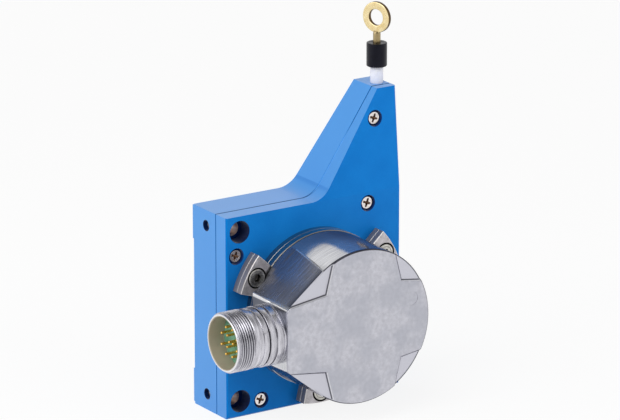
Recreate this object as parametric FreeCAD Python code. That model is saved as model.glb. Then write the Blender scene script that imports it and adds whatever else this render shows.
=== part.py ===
"""Draw wire encoder: a spring-loaded wire drum in a flat two-part housing, read by a 60 mm shaft encoder.

Frame: millimetres, +Z is the way the wire is pulled, -Y is the side that carries the encoder.
The origin is the middle of the two fixing holes on the mounting face at the back.
Each sub-part is made by its own function and written to parts/NODE.step.
"""
import FreeCAD, Part
import math
import os

os.makedirs("parts", exist_ok=True)
V = FreeCAD.Vector

# Housing outline, seen from the encoder's side
BODY_WIDTH = 78.6
BODY_HEIGHT = 79.4
TOTAL_HEIGHT = 118.6          # bottom edge to the top of the neck
NECK_TOP_WIDTH = 8.4
NECK_FOOT = 43.4              # left edge to the foot of the neck's slope
NECK_FILLET = 10.0
HOLE_SPACING = 66.9
HOLE_TO_LEFT = 6.0
HOLE_TO_BOTTOM = 6.35
AXIS_TO_LEFT = 39.1
AXIS_TO_BOTTOM = 39.2

# Housing depth, front to back
PAD_PROUD = 1.0
PAD_SIZE = 13.3
REAR_DEPTH = 16.1
FRONT_DEPTH = 7.3
LEAN_FRONT = 3.5              # how far the neck's front face leans in at its top
LEAN_BACK = 3.9
EDGE_BREAK = 0.5
PARTING_BREAK = 0.25
BACK_WALL = 2.6
FRONT_WALL = 3.6

# Fasteners of the housing
MOUNT_HOLE_R = 2.75           # M5 clearance
MOUNT_HEAD_R = 4.3
MOUNT_HEAD_DEPTH = 5.6
SIDE_HOLE_R = 2.1             # M5 tapping size
SIDE_HOLE_DEPTH = 12.0
SIDE_HOLE_Y = -10.3
SHELL_SCREW_R = 1.5
SHELL_HEAD_R = 2.75
SHELL_HEAD_H = 1.9
SHELL_RECESS_R = 3.15
SHELL_RECESS_DEPTH = 2.6
SHELL_SCREW_LENGTH = 14.0
SHELL_SCREW_PLACES = ((29.4, 68.1), (24.7, 35.9), (-34.6, 24.7), (-23.7, -34.1), (33.2, -33.4))
SHELL_SCREW_SPARE = 1.5       # depth of the tapped hole past the screw's end
SHELL_HEAD_DOME = 0.5
CROSS_WIDTH = 0.75
CROSS_SPAN = 3.2
CROSS_DEPTH = 1.1

# Drum and wire
DRUM_PAYOUT = 225.0
WIRE_D = 0.55
WIRE_Y = -13.5
DRUM_RIM = 1.0                # how far the drum's flanges stand over the wire's centre line
DRUM_GAP = 0.5
DRUM_BACK_Y = -6.6
DRUM_FLANGE = 1.0
DRUM_WALL = 2.9
DRUM_WEB = 3.0
DRUM_FRONT_GAP = 0.6
WEB_WINDOWS = 6
WEB_WINDOW_R = 4.2
CHANNEL_WIDTH = 3.2
CHANNEL_BACK_Y = -8.7
WIRE_LEAVES = 7.4             # height above the axis where the straight wire is drawn from

# Spring motor behind the drum
SPRING_CUP_R = 31.4
SPRING_CUP_WALL = 0.8
SPRING_CUP_FRONT_Y = -15.0
SPRING_COVER = 0.8
SPRING_TURNS = 8
SPRING_THICK = 0.5
SPRING_SIDE_GAP = 0.5
SPRING_END_GAP = 0.1
ARBOR_R = 12.0
ARBOR_GAP = 0.3
COVER_GAP = 1.0

# Drum shaft and its rear bearing, 8 x 16 x 4
SHAFT_R = 4.0
SHAFT_BODY_R = 8.0
REAR_BEARING_R = 8.0
REAR_BEARING_W = 4.0
BEARING_BOSS_R = 10.5
BEARING_SEAT_Y = -3.0
BEARING_RELIEF_R = 5.6
BEARING_RELIEF = 0.5
SHOULDER_R = 5.2
SHOULDER_H = 0.8
RACE_SHARE = 0.32             # how much of a bearing's section each of its rings takes
SHIELD_IN = 0.2
SHIELD_GAP = 0.1

# Encoder: flange plates, lugs and shaft
PLATE_OVER_CAP = 0.4
LOWER_PLATE = 2.8
UPPER_PLATE = 2.8
PLATE_BREAK = 0.25
SPIGOT_R = 18.0
SPIGOT_FIT = 0.05
SPIGOT_BACK_GAP = 0.3
LUG_REACH = 7.6               # how far the lugs stand out of the plates' round
LUG_HALF_ANGLE = 12.2
LUG_ANGLES = (150.0, 30.0, -90.0)
LUG_SCREW_OUT = 3.5           # screw centre out of the cap's round
LUG_SCREW_R = 2.0
LUG_HOLE_R = 2.15
LUG_HEAD_R = 3.5
LUG_HEAD_H = 2.2
LUG_BORE_R = 4.1
LUG_BORE_DEPTH = 2.0
SOCKET_ACROSS = 2.5
SOCKET_DEPTH = 1.2
LUG_HEAD_BREAK = 0.3
ENCODER_SHAFT_R = 5.0
SHAFT_IN_DRUM = 8.4           # how far the encoder's shaft enters the drum shaft
SHAFT_END_GAP = 0.3
SHAFT_PAST_HUB = 1.5
ENCODER_BEARING_R = 9.5
ENCODER_BEARING_W = 5.0
BEARING_LEDGE = 1.2
TOWER_WALL = 1.5
TOWER_HEIGHT = 6.6
SEAL_W = 2.4
SEAL_LIP_GAP = 0.05
SEAL_LIP_IN = 1.5
SEAL_TO_BEARING = 0.3

# Encoder cap
CAP_R = 30.0
CAP_DRAFT = 0.2               # how much wider the cap is at its foot
CAP_DEPTH = 27.9
CAP_WALL = 2.4
CAP_ROUND = 0.4
CAP_SEAM_IN = 0.2             # the cap's foot is set back a little where it meets the flange
CAP_SEAM_H = 0.45
BLOCK_OUT = 3.2               # the connector's flat stands out of the cap's round
BLOCK_DRAFT = 0.3
BLOCK_HALF = 11.9
BLOCK_REAR_HALF = 12.8
BLOCK_BACK = 4.0              # flange to the back of the connector's block
BLOCK_ROUND = 0.7
SIDE_PAST = 0.3               # share of a side plane that is cut on past its crease
CREASE_FRONT = 3.4            # degrees from the block's tangent to the crease on the round body
CREASE_REAR = 8.4
FACET_DEPTH = 0.9
FACET_SLOPE = 0.7             # how far a facet's wall runs out over its depth
FACET_INNER = ((-0.52, 0.493), (0.58, 0.493))
FACET_RIM = ((-0.413, 0.907), (0.473, 0.907))
FACET_SIDE = ((-1.133, 0.41), (0.953, 0.437))
MARK_R = 2.75                 # round mark of an ejector pin in the cap's face
MARK_DEPTH = 0.1
MARK_PLACE = (0.74, 0.243)
CAP_SPIGOT_GAP = 0.1
CAP_SPIGOT_WALL = 1.5
CAP_SPIGOT_H = 3.4
CAP_SEAL_W = 1.2
CAP_SEAL_DEPTH = 0.9
CAP_SEAL_FIT = 0.03
CAP_BOSS_R = 2.0
CAP_BOSS_IN = 4.0             # boss centre inside the cap's wall
CAP_BOSS_ANGLES = (90.0, 210.0, 330.0)
CAP_BOSS_GAP = 0.05
CAP_RIB_GAP = 0.4
CAP_SCREW_R = 1.25
CAP_SCREW_LENGTH = 13.0
CAP_SCREW_HEAD_R = 2.35
CAP_SCREW_HEAD_H = 1.3

# Scanning parts inside the cap
DISC_HUB_R = 9.0
DISC_HUB_H = 2.0
DISC_HUB_GAP = 0.8
DISC_BORE_R = 5.5
DISC_IN_BOARD = 3.4
DISC_THICK = 1.0
BOARD_GAP = 0.4               # board to the cap's bosses
BOARD_THICK = 1.6
BOARD_TO_FLANGE = 15.6
PILLAR_R = 1.4
PILLAR_TO_RIM = 1.5
PILLAR_ANGLES = (30.0, 150.0, 270.0)
SCAN_GAP = 0.6
SCAN_SIZE = (12.0, 6.0)
SCAN_IN_DISC = 3.3            # centre of the scanning head inside the disc's rim
LAMP_R = 1.6
LAMP_IN_DISC = 1.8

# Round connector on the cap's side, M23 size
CONNECTOR_Y = -45.7
THREAD_R = 11.5
CONNECTOR_LENGTH = 20.9
COLLAR_R = 11.6
COLLAR_LENGTH = 6.9
RIM_GROOVE = (1.0, 1.4)       # grooves and bands are distances out of the cap's flat
RIM_GROOVE_R = 11.25
COLLAR_GROOVE = (3.8, 4.6)
COLLAR_GROOVE_R = 11.0
GAP_RING_R = 10.6
GAP_RING_W = 0.4
BARREL_BAND_R = 11.3
BARREL_BORE_R = 10.0
LEAD_IN_R = 10.95             # plain lip in front of the thread
LEAD_IN_LENGTH = 1.0
MOUTH_BREAK = 0.3
NECK_BAND = (9.5, 11.1)
NECK_BAND_R = 10.9
SEAT_R = 11.75                # milled seat for the collar on the cap's flat
CAP_TUBE_R = 10.0
CAP_TUBE_IN = 3.0
CAP_TUBE_FIT = 0.05
CONNECTOR_BORE_R = 9.0
INSERT_DEPTH = 6.8
PIN_R = 0.5
PIN_BELOW_RIM = 2.4
PIN_COUNTS = (8, 3, 1)
PIN_CIRCLES = (5.7, 2.6, 0.0)
PIN_ROOT = 4.0
KEY_WIDTH = 1.8
KEY_HEIGHT = 1.1
KEY_GAP = 0.3
FLAT_WIDTH = 7.0
FLAT_DEPTH = 0.35

# Wire nozzle and wire end
NOZZLE_R = 2.5
NOZZLE_HEIGHT = 6.5
NOZZLE_LIP_R = 2.2
NOZZLE_LIP_H = 0.7
NOZZLE_SPIGOT_R = 2.0
NOZZLE_SPIGOT_L = 8.0
NOZZLE_BORE_R = 0.6
NOZZLE_FUNNEL = 0.5
WIPER_L = 2.0
WIPER_GAP = 0.06
STOP_GAP = 0.1
SLEEVE_R = 3.95
SLEEVE_L = 9.2
SLEEVE_BREAK = 0.4
SLEEVE_FLOOR = 2.0
STEM_R = 1.45
STEM_FIT = 0.06
STEM_L = 11.0                 # from its foot in the sleeve to the ring's rim
STEM_FLOOR = 1.0
FERRULE_R = 0.85
FERRULE_L = 4.0
FERRULE_GAP = 0.08
RING_R = 6.0
RING_HOLE_R = 3.15
RING_THICK = 1.6
RING_OVERLAP = 0.4
RING_TURN = -68.0             # the ring's face, degrees from the housing's front
WIRE_BORE_R = 0.45

# Places worked out from the sizes above
LEFT_X = -HOLE_TO_LEFT
RIGHT_X = LEFT_X + BODY_WIDTH
BOTTOM_Z = -HOLE_SPACING / 2 - HOLE_TO_BOTTOM
TOP_Z = BOTTOM_Z + BODY_HEIGHT
NECK_TOP_Z = BOTTOM_Z + TOTAL_HEIGHT
AXIS_X = LEFT_X + AXIS_TO_LEFT
AXIS_Z = BOTTOM_Z + AXIS_TO_BOTTOM
BACK_Y = -PAD_PROUD
PARTING_Y = BACK_Y - REAR_DEPTH
FRONT_Y = PARTING_Y - FRONT_DEPTH
FLOOR_Y = BACK_Y - BACK_WALL
INNER_FRONT_Y = FRONT_Y + FRONT_WALL
WIND_R = DRUM_PAYOUT / (2 * math.pi)
BARREL_R = WIND_R - WIRE_D / 2
WOUND_R = WIND_R + WIRE_D / 2
DRUM_R = WIND_R + DRUM_RIM
CAVITY_R = DRUM_R + DRUM_GAP
WIRE_X = AXIS_X + WIND_R
DRUM_FRONT_Y = INNER_FRONT_Y + DRUM_FRONT_GAP
WEB_BACK_Y = DRUM_FRONT_Y + DRUM_WEB
LOWER_FRONT_Y = FRONT_Y - LOWER_PLATE
UPPER_FRONT_Y = LOWER_FRONT_Y - UPPER_PLATE
CAP_FRONT_Y = UPPER_FRONT_Y - CAP_DEPTH
CAP_BASE_R = CAP_R + CAP_DRAFT
CAP_ROOM_R = CAP_R - CAP_WALL
CAP_SPIGOT_R = CAP_ROOM_R - CAP_SPIGOT_GAP
CAP_BOSS_CIRCLE = CAP_ROOM_R - CAP_BOSS_IN
PLATE_R = CAP_R + PLATE_OVER_CAP
LUG_R = PLATE_R + LUG_REACH
LUG_SCREW_CIRCLE = CAP_R + LUG_SCREW_OUT
BOARD_R = CAP_BOSS_CIRCLE - CAP_BOSS_R - BOARD_GAP
DISC_R = BOARD_R - DISC_IN_BOARD
BLOCK_REACH = CAP_R + BLOCK_OUT
BLOCK_REAR_REACH = BLOCK_REACH + BLOCK_DRAFT
BLOCK_REAR_ROUND_R = CAP_BASE_R - CAP_DRAFT * BLOCK_BACK / CAP_DEPTH
BLOCK_X = AXIS_X - BLOCK_REACH
MOUTH_X = BLOCK_X - CONNECTOR_LENGTH
NOZZLE_TOP_Z = NECK_TOP_Z + NOZZLE_HEIGHT
SLEEVE_Z = NOZZLE_TOP_Z + STOP_GAP
STEM_Z = SLEEVE_Z + SLEEVE_FLOOR + FERRULE_GAP
RING_Z = STEM_Z + STEM_L + RING_R
BOARD_Y = UPPER_FRONT_Y - BOARD_TO_FLANGE
SPIGOT_Y = INNER_FRONT_Y - SPIGOT_BACK_GAP
TOWER_R = ENCODER_BEARING_R + TOWER_WALL
TOWER_FRONT_Y = UPPER_FRONT_Y - TOWER_HEIGHT
FIRST_BEARING_Y = SPIGOT_Y - SEAL_W - SEAL_TO_BEARING
SECOND_BEARING_Y = TOWER_FRONT_Y + ENCODER_BEARING_W
DISC_Y = TOWER_FRONT_Y - DISC_HUB_GAP - DISC_HUB_H
SHAFT_FRONT_Y = TOWER_FRONT_Y - DISC_HUB_H - SHAFT_PAST_HUB
SOCKET_Y = DRUM_FRONT_Y + SHAFT_IN_DRUM


def along_y(r, y_from, y_to, x=AXIS_X, z=AXIS_Z):
    """Round bar along Y between two depths, by default on the drum's axis."""
    low = min(y_from, y_to)
    return Part.makeCylinder(r, abs(y_to - y_from), V(x, low, z), V(0, 1, 0))


def along_x(r, x_from, x_to, y, z):
    """Round bar along X between two places."""
    low = min(x_from, x_to)
    return Part.makeCylinder(r, abs(x_to - x_from), V(low, y, z), V(1, 0, 0))


def along_z(r, z_from, z_to, x=WIRE_X, y=WIRE_Y):
    """Round bar along Z between two heights, by default on the wire's line."""
    low = min(z_from, z_to)
    return Part.makeCylinder(r, abs(z_to - z_from), V(x, y, low), V(0, 0, 1))


def ring_y(inner, outer, y_from, y_to):
    """Flat ring about the drum's axis."""
    return turned_y([(inner, y_from), (outer, y_from), (outer, y_to), (inner, y_to)])


def block(x0, x1, y0, y1, z0, z1):
    """Box between two corners."""
    return Part.makeBox(abs(x1 - x0), abs(y1 - y0), abs(z1 - z0), V(min(x0, x1), min(y0, y1), min(z0, z1)))


def turned(profile, origin, radial, axis):
    """Solid turned from a closed (radius, distance) outline about an axis through origin."""
    points = [origin + radial * r + axis * d for r, d in profile]
    face = Part.Face(Part.makePolygon(points + points[:1]))
    return face.revolve(origin, axis, 360)


def turned_y(profile, x=AXIS_X, z=AXIS_Z):
    """Turned about Y; each point is (radius, y)."""
    return turned(profile, V(x, 0, z), V(1, 0, 0), V(0, 1, 0))


def turned_x(profile):
    """Turned about the connector's axis; each point is (radius, distance out of the cap's flat)."""
    return turned(profile, V(BLOCK_X, CONNECTOR_Y, AXIS_Z), V(0, 0, 1), V(-1, 0, 0))


def turned_z(profile):
    """Turned about the wire's line; each point is (radius, z)."""
    return turned(profile, V(WIRE_X, WIRE_Y, 0), V(1, 0, 0), V(0, 0, 1))


def prism_y(points, y_from, y_to):
    """Prism along Y over a polygon of (x, z) corners."""
    corners = [V(x, y_from, z) for x, z in points]
    return Part.Face(Part.makePolygon(corners + corners[:1])).extrude(V(0, y_to - y_from, 0))


def polar(radius, angle, x=AXIS_X, z=AXIS_Z):
    """(x, z) at a radius and an angle in degrees about the drum's axis."""
    turn = math.radians(angle)
    return x + radius * math.cos(turn), z + radius * math.sin(turn)


def broken_edges(shape, size, wanted):
    """Chamfer the edges whose centre the test accepts."""
    edges = [e for e in shape.Edges if wanted(e)]
    return shape.makeChamfer(size, edges)


def sharp_on_plane_y(y):
    """Test for straight edges that lie in the plane y."""
    return lambda e: all(abs(v.Point.y - y) < 1e-6 for v in e.Vertexes) and len(e.Vertexes) == 2


def housing_outline():
    """Closed outline of the body and neck in XZ, with the arc where the body's top meets the slope."""
    foot_x = LEFT_X + NECK_FOOT
    top_x = RIGHT_X - NECK_TOP_WIDTH
    slope = math.atan2(NECK_TOP_Z - TOP_Z, top_x - foot_x)
    run = NECK_FILLET * math.tan(slope / 2)
    before = V(foot_x - run, 0, TOP_Z)
    after = V(foot_x + run * math.cos(slope), 0, TOP_Z + run * math.sin(slope))
    centre = V(foot_x - run, 0, TOP_Z + NECK_FILLET)
    middle = centre + V(math.sin(slope / 2), 0, -math.cos(slope / 2)) * NECK_FILLET
    straight = [V(LEFT_X, 0, TOP_Z), V(LEFT_X, 0, BOTTOM_Z), V(RIGHT_X, 0, BOTTOM_Z),
                V(RIGHT_X, 0, NECK_TOP_Z), V(top_x, 0, NECK_TOP_Z), after]
    edges = [Part.makeLine(before, straight[0])]
    edges += [Part.makeLine(a, b) for a, b in zip(straight, straight[1:])]
    edges.append(Part.Arc(after, middle, before).toShape())
    return Part.Wire(edges)


def side_profile():
    """The housing's depth seen from the side: upright body, then a neck whose two faces lean in."""
    points = [V(LEFT_X, y, z) for y, z in (
        (BACK_Y, BOTTOM_Z), (FRONT_Y, BOTTOM_Z), (FRONT_Y, TOP_Z),
        (FRONT_Y + LEAN_FRONT, NECK_TOP_Z), (BACK_Y - LEAN_BACK, NECK_TOP_Z), (BACK_Y, TOP_Z))]
    return Part.Face(Part.makePolygon(points + points[:1])).extrude(V(BODY_WIDTH, 0, 0))


def housing_slab(y_from, y_to):
    """The housing's solid form between two depths."""
    face = Part.Face(housing_outline())
    face.translate(V(0, y_from, 0))
    return face.extrude(V(0, y_to - y_from, 0)).common(side_profile())


def mounting_holes():
    """Centres of the two fixing holes."""
    return [(0.0, -HOLE_SPACING / 2), (0.0, HOLE_SPACING / 2)]


def screw_places():
    """Centres of the screws that hold the two shells together."""
    return [(AXIS_X + dx, AXIS_Z + dz) for dx, dz in SHELL_SCREW_PLACES]


def rear_shell():
    """Deep half of the housing: drum pocket, wire channel, bearing boss, corner pads."""
    shape = housing_slab(BACK_Y, PARTING_Y)
    shape = broken_edges(shape, PARTING_BREAK, sharp_on_plane_y(PARTING_Y))
    shape = broken_edges(shape, EDGE_BREAK, lambda e: sharp_on_plane_y(BACK_Y)(e)
                         and e.Length > NECK_TOP_WIDTH and e.CenterOfMass.z < TOP_Z - EDGE_BREAK)
    for x0 in (LEFT_X + EDGE_BREAK, RIGHT_X - EDGE_BREAK - PAD_SIZE):
        for z0 in (BOTTOM_Z + EDGE_BREAK, TOP_Z - EDGE_BREAK - PAD_SIZE):
            shape = shape.fuse(block(x0, x0 + PAD_SIZE, 0, BACK_Y - EDGE_BREAK, z0, z0 + PAD_SIZE))
    shape = shape.cut(along_y(CAVITY_R, FLOOR_Y, PARTING_Y))
    half = CHANNEL_WIDTH / 2
    channel_top = NECK_TOP_Z - NOZZLE_SPIGOT_L - WIPER_L
    shape = shape.cut(block(WIRE_X - half, WIRE_X + half, CHANNEL_BACK_Y, PARTING_Y, AXIS_Z, channel_top))
    shape = shape.cut(along_z(NOZZLE_SPIGOT_R, channel_top, NECK_TOP_Z))
    boss = along_y(BEARING_BOSS_R, FLOOR_Y, BEARING_SEAT_Y - REAR_BEARING_W)
    shape = shape.fuse(boss).cut(along_y(REAR_BEARING_R, BEARING_SEAT_Y, BEARING_SEAT_Y - REAR_BEARING_W))
    shape = shape.cut(along_y(BEARING_RELIEF_R, BEARING_SEAT_Y, BEARING_SEAT_Y + BEARING_RELIEF))
    for x, z in screw_places():
        shape = shape.cut(along_y(SHELL_SCREW_R, PARTING_Y, screw_end_y(z) + SHELL_SCREW_SPARE, x, z))
    for x, z in mounting_holes():
        shape = shape.cut(along_y(MOUNT_HOLE_R, 0, PARTING_Y, x, z))
        shape = shape.cut(along_x(SIDE_HOLE_R, LEFT_X, LEFT_X + SIDE_HOLE_DEPTH, SIDE_HOLE_Y, z))
    return shape


def front_shell():
    """Shallow half of the housing: carries the encoder and covers the drum."""
    shape = housing_slab(PARTING_Y, FRONT_Y)
    shape = broken_edges(shape, PARTING_BREAK, sharp_on_plane_y(PARTING_Y))
    shape = broken_edges(shape, EDGE_BREAK, lambda e: sharp_on_plane_y(FRONT_Y)(e)
                         and e.Length > NECK_TOP_WIDTH and e.CenterOfMass.z < TOP_Z - EDGE_BREAK)
    shape = shape.cut(along_y(CAVITY_R, PARTING_Y, INNER_FRONT_Y))
    shape = shape.cut(along_y(SPIGOT_R + SPIGOT_FIT, INNER_FRONT_Y, FRONT_Y))
    for x, z in mounting_holes():
        shape = shape.cut(along_y(MOUNT_HOLE_R, PARTING_Y, FRONT_Y, x, z))
        shape = shape.cut(along_y(MOUNT_HEAD_R, FRONT_Y + MOUNT_HEAD_DEPTH, FRONT_Y, x, z))
    for x, z in screw_places():
        seat_y = screw_seat_y(z)
        shape = shape.cut(along_y(SHELL_SCREW_R, PARTING_Y, FRONT_Y, x, z))
        shape = shape.cut(along_y(SHELL_RECESS_R, seat_y, FRONT_Y, x, z))
    for angle in LUG_ANGLES:
        x, z = polar(LUG_SCREW_CIRCLE, angle)
        shape = shape.cut(along_y(LUG_SCREW_R, INNER_FRONT_Y, FRONT_Y, x, z))
    return shape


def screw_seat_y(z):
    """Depth of a shell screw's seat: the recess follows the leaning face of the neck."""
    rise = max(0.0, z - TOP_Z) / (NECK_TOP_Z - TOP_Z)
    return FRONT_Y + LEAN_FRONT * rise + SHELL_RECESS_DEPTH


def screw_end_y(z):
    """Depth of a shell screw's tip."""
    return screw_seat_y(z) - SHELL_HEAD_H + SHELL_SCREW_LENGTH


def shell_screw(x, z):
    """Cross-recess pan-head screw that enters from the front."""
    seat_y = screw_seat_y(z)
    shank_end = screw_end_y(z)
    top = seat_y - SHELL_HEAD_H
    dome = SHELL_HEAD_DOME
    profile = [(0, top), (SHELL_HEAD_R - dome, top), (SHELL_HEAD_R, top + dome), (SHELL_HEAD_R, seat_y),
               (SHELL_SCREW_R, seat_y), (SHELL_SCREW_R, shank_end), (0, shank_end)]
    screw = turned_y(profile, x, z)
    for w, h in ((CROSS_WIDTH, CROSS_SPAN), (CROSS_SPAN, CROSS_WIDTH)):
        screw = screw.cut(block(x - w / 2, x + w / 2, top, top + CROSS_DEPTH, z - h / 2, z + h / 2))
    return screw


def shell_screws():
    """The five screws of the housing, as separate solids."""
    return Part.makeCompound([shell_screw(x, z) for x, z in screw_places()])


def drum():
    """Wire drum: grooved rim with two flanges on a web with lightening windows."""
    bore = SHAFT_BODY_R
    front = DRUM_FRONT_Y
    back = DRUM_BACK_Y
    inner = BARREL_R - DRUM_WALL
    front_rim = front + DRUM_FLANGE
    back_rim = back - DRUM_FLANGE
    profile = [(bore, front), (DRUM_R, front), (DRUM_R, front_rim), (BARREL_R, front_rim),
               (BARREL_R, back_rim), (DRUM_R, back_rim), (DRUM_R, back), (inner, back),
               (inner, WEB_BACK_Y), (bore, WEB_BACK_Y)]
    shape = turned_y(profile)
    middle = (bore + inner) / 2
    for n in range(WEB_WINDOWS):
        x, z = polar(middle, 360.0 * n / WEB_WINDOWS)
        shape = shape.cut(along_y(WEB_WINDOW_R, front, WEB_BACK_Y, x, z))
    return shape


def wound_wire():
    """The wire that lies on the drum, as one layer."""
    front = DRUM_FRONT_Y + DRUM_FLANGE
    back = DRUM_BACK_Y - DRUM_FLANGE
    return ring_y(BARREL_R, WOUND_R, front, back)


def drum_shaft():
    """Stepped shaft: journal in the rear bearing, body in the drum, socket for the encoder's shaft."""
    journal_y = BEARING_SEAT_Y - REAR_BEARING_W
    shoulder_y = journal_y - SHOULDER_H
    front = DRUM_FRONT_Y
    socket_y = SOCKET_Y + SHAFT_END_GAP
    profile = [(0, BEARING_SEAT_Y), (SHAFT_R, BEARING_SEAT_Y), (SHAFT_R, journal_y),
               (SHOULDER_R, journal_y), (SHOULDER_R, shoulder_y), (SHAFT_BODY_R, shoulder_y),
               (SHAFT_BODY_R, front), (ENCODER_SHAFT_R, front), (ENCODER_SHAFT_R, socket_y), (0, socket_y)]
    return turned_y(profile)


def spring_arbor():
    """Bush on the drum shaft that the power spring winds on."""
    back = BEARING_SEAT_Y - REAR_BEARING_W - SHOULDER_H
    return ring_y(SHAFT_BODY_R, ARBOR_R, back, WEB_BACK_Y)


def spring_cup():
    """Thin cup on the housing's floor that holds the spring's outer end."""
    hub = BEARING_BOSS_R
    wall = SPRING_CUP_WALL
    profile = [(hub, FLOOR_Y), (SPRING_CUP_R, FLOOR_Y), (SPRING_CUP_R, SPRING_CUP_FRONT_Y),
               (SPRING_CUP_R - wall, SPRING_CUP_FRONT_Y), (SPRING_CUP_R - wall, FLOOR_Y - wall),
               (hub, FLOOR_Y - wall)]
    return turned_y(profile)


def spring_cover():
    """Ring that closes the spring cup beside the drum's web."""
    back = SPRING_CUP_FRONT_Y
    inner = ARBOR_R + COVER_GAP
    return ring_y(inner, SPRING_CUP_R, back, back - SPRING_COVER)


def power_spring():
    """Flat spiral strip from the arbor to the cup, drawn as half-turn arcs of growing radius."""
    start = ARBOR_R + ARBOR_GAP
    end = SPRING_CUP_R - SPRING_CUP_WALL - SPRING_END_GAP
    halves = 2 * SPRING_TURNS
    step = (end - start - SPRING_THICK) / halves
    y = FLOOR_Y - SPRING_CUP_WALL
    width = y - SPRING_CUP_FRONT_Y - SPRING_SIDE_GAP

    def spiral(offset):
        edges = []
        x = AXIS_X
        for n in range(halves):
            radius = start + offset + n * step
            side = 1 if n % 2 == 0 else -1
            first = V(x + side * radius, y, AXIS_Z)
            top = V(x, y, AXIS_Z + side * radius)
            last = V(x - side * radius, y, AXIS_Z)
            edges.append(Part.Arc(first, top, last).toShape())
            x = x + side * step
        return edges

    inner = spiral(0.0)
    outer = spiral(SPRING_THICK)
    head = Part.makeLine(inner[0].Vertexes[0].Point, outer[0].Vertexes[0].Point)
    tail = Part.makeLine(inner[-1].Vertexes[-1].Point, outer[-1].Vertexes[-1].Point)
    outline = Part.Wire(Part.__sortEdges__(inner + outer + [head, tail]))
    return Part.Face(outline).extrude(V(0, -width, 0))


def bearing_ring(inner, outer, y_from, width):
    """Plain ring of a bearing."""
    return ring_y(inner, outer, y_from, y_from - width)


def outer_race(bore, outside, y_from, width):
    """Outer ring of a ball bearing."""
    return bearing_ring(outside - RACE_SHARE * (outside - bore), outside, y_from, width)


def inner_race(bore, outside, y_from, width):
    """Inner ring of a ball bearing."""
    return bearing_ring(bore, bore + RACE_SHARE * (outside - bore), y_from, width)


def shield(bore, outside, y_from, width):
    """Rubber seals of a bearing with the balls between them, as one ring that the outer race holds."""
    inner = bore + RACE_SHARE * (outside - bore) + SHIELD_GAP
    outer = outside - RACE_SHARE * (outside - bore)
    return bearing_ring(inner, outer, y_from - SHIELD_IN, width - 2 * SHIELD_IN)


def rear_bearing():
    """Sizes of the drum shaft's bearing."""
    return SHAFT_R, REAR_BEARING_R, BEARING_SEAT_Y, REAR_BEARING_W


def encoder_bearings():
    """Sizes of the two bearings of the encoder's shaft."""
    return [(ENCODER_SHAFT_R, ENCODER_BEARING_R, y, ENCODER_BEARING_W)
            for y in (FIRST_BEARING_Y, SECOND_BEARING_Y)]


def lug_plate(y_from, y_to):
    """Round plate with three lugs whose sides are radial, its front edge broken."""
    shape = along_y(PLATE_R, y_from, y_to)
    for angle in LUG_ANGLES:
        inner = PLATE_R / 2
        a0 = polar(inner, angle - LUG_HALF_ANGLE)
        a1 = polar(LUG_R, angle - LUG_HALF_ANGLE)
        am = polar(LUG_R, angle)
        b1 = polar(LUG_R, angle + LUG_HALF_ANGLE)
        b0 = polar(inner, angle + LUG_HALF_ANGLE)
        at = [V(x, y_from, z) for x, z in (a0, a1, am, b1, b0)]
        edges = [Part.makeLine(at[0], at[1]), Part.Arc(at[1], at[2], at[3]).toShape(),
                 Part.makeLine(at[3], at[4]), Part.makeLine(at[4], at[0])]
        shape = shape.fuse(Part.Face(Part.Wire(edges)).extrude(V(0, y_to - y_from, 0)))
    shape = shape.removeSplitter()
    return broken_edges(shape, PLATE_BREAK, lambda e: all(abs(v.Point.y - y_to) < 1e-6 for v in e.Vertexes))


def encoder_ring():
    """Lower lug plate: adapter ring between the housing and the encoder."""
    shape = lug_plate(FRONT_Y, LOWER_FRONT_Y)
    shape = shape.cut(along_y(SPIGOT_R + SPIGOT_FIT, FRONT_Y, LOWER_FRONT_Y))
    for angle in LUG_ANGLES:
        x, z = polar(LUG_SCREW_CIRCLE, angle)
        shape = shape.cut(along_y(LUG_HOLE_R, FRONT_Y, LOWER_FRONT_Y, x, z))
    return shape


def seal_groove_y():
    """Where the cap's seal starts and ends on the flange's lip."""
    middle = UPPER_FRONT_Y - CAP_SPIGOT_H / 2
    return middle + CAP_SEAL_W / 2, middle - CAP_SEAL_W / 2


def encoder_flange():
    """Encoder's own flange: lug plate, centring spigot, bearing tower and the cap's spigot."""
    shape = lug_plate(LOWER_FRONT_Y, UPPER_FRONT_Y)
    shape = shape.fuse(along_y(SPIGOT_R, SPIGOT_Y, LOWER_FRONT_Y))
    shape = shape.fuse(along_y(TOWER_R, UPPER_FRONT_Y, TOWER_FRONT_Y))
    lip = ring_y(CAP_SPIGOT_R - CAP_SPIGOT_WALL, CAP_SPIGOT_R, UPPER_FRONT_Y, UPPER_FRONT_Y - CAP_SPIGOT_H)
    groove = ring_y(CAP_SPIGOT_R - CAP_SEAL_DEPTH, CAP_SPIGOT_R, *seal_groove_y())
    shape = shape.fuse(lip.cut(groove))
    shape = shape.cut(along_y(ENCODER_BEARING_R, SPIGOT_Y, FIRST_BEARING_Y - ENCODER_BEARING_W))
    shape = shape.cut(along_y(ENCODER_BEARING_R, SECOND_BEARING_Y, TOWER_FRONT_Y))
    shape = shape.cut(along_y(ENCODER_BEARING_R - BEARING_LEDGE, SPIGOT_Y, TOWER_FRONT_Y))
    for angle in LUG_ANGLES:
        x, z = polar(LUG_SCREW_CIRCLE, angle)
        shape = shape.cut(along_y(LUG_HOLE_R, LOWER_FRONT_Y, UPPER_FRONT_Y, x, z))
        shape = shape.cut(along_y(LUG_BORE_R, UPPER_FRONT_Y + LUG_BORE_DEPTH, UPPER_FRONT_Y, x, z))
    for x, z in cap_boss_places():
        shape = shape.cut(along_y(CAP_SCREW_R, LOWER_FRONT_Y, UPPER_FRONT_Y, x, z))
        shape = shape.cut(along_y(CAP_SCREW_HEAD_R, LOWER_FRONT_Y, LOWER_FRONT_Y - CAP_SCREW_HEAD_H, x, z))
    return shape


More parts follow.
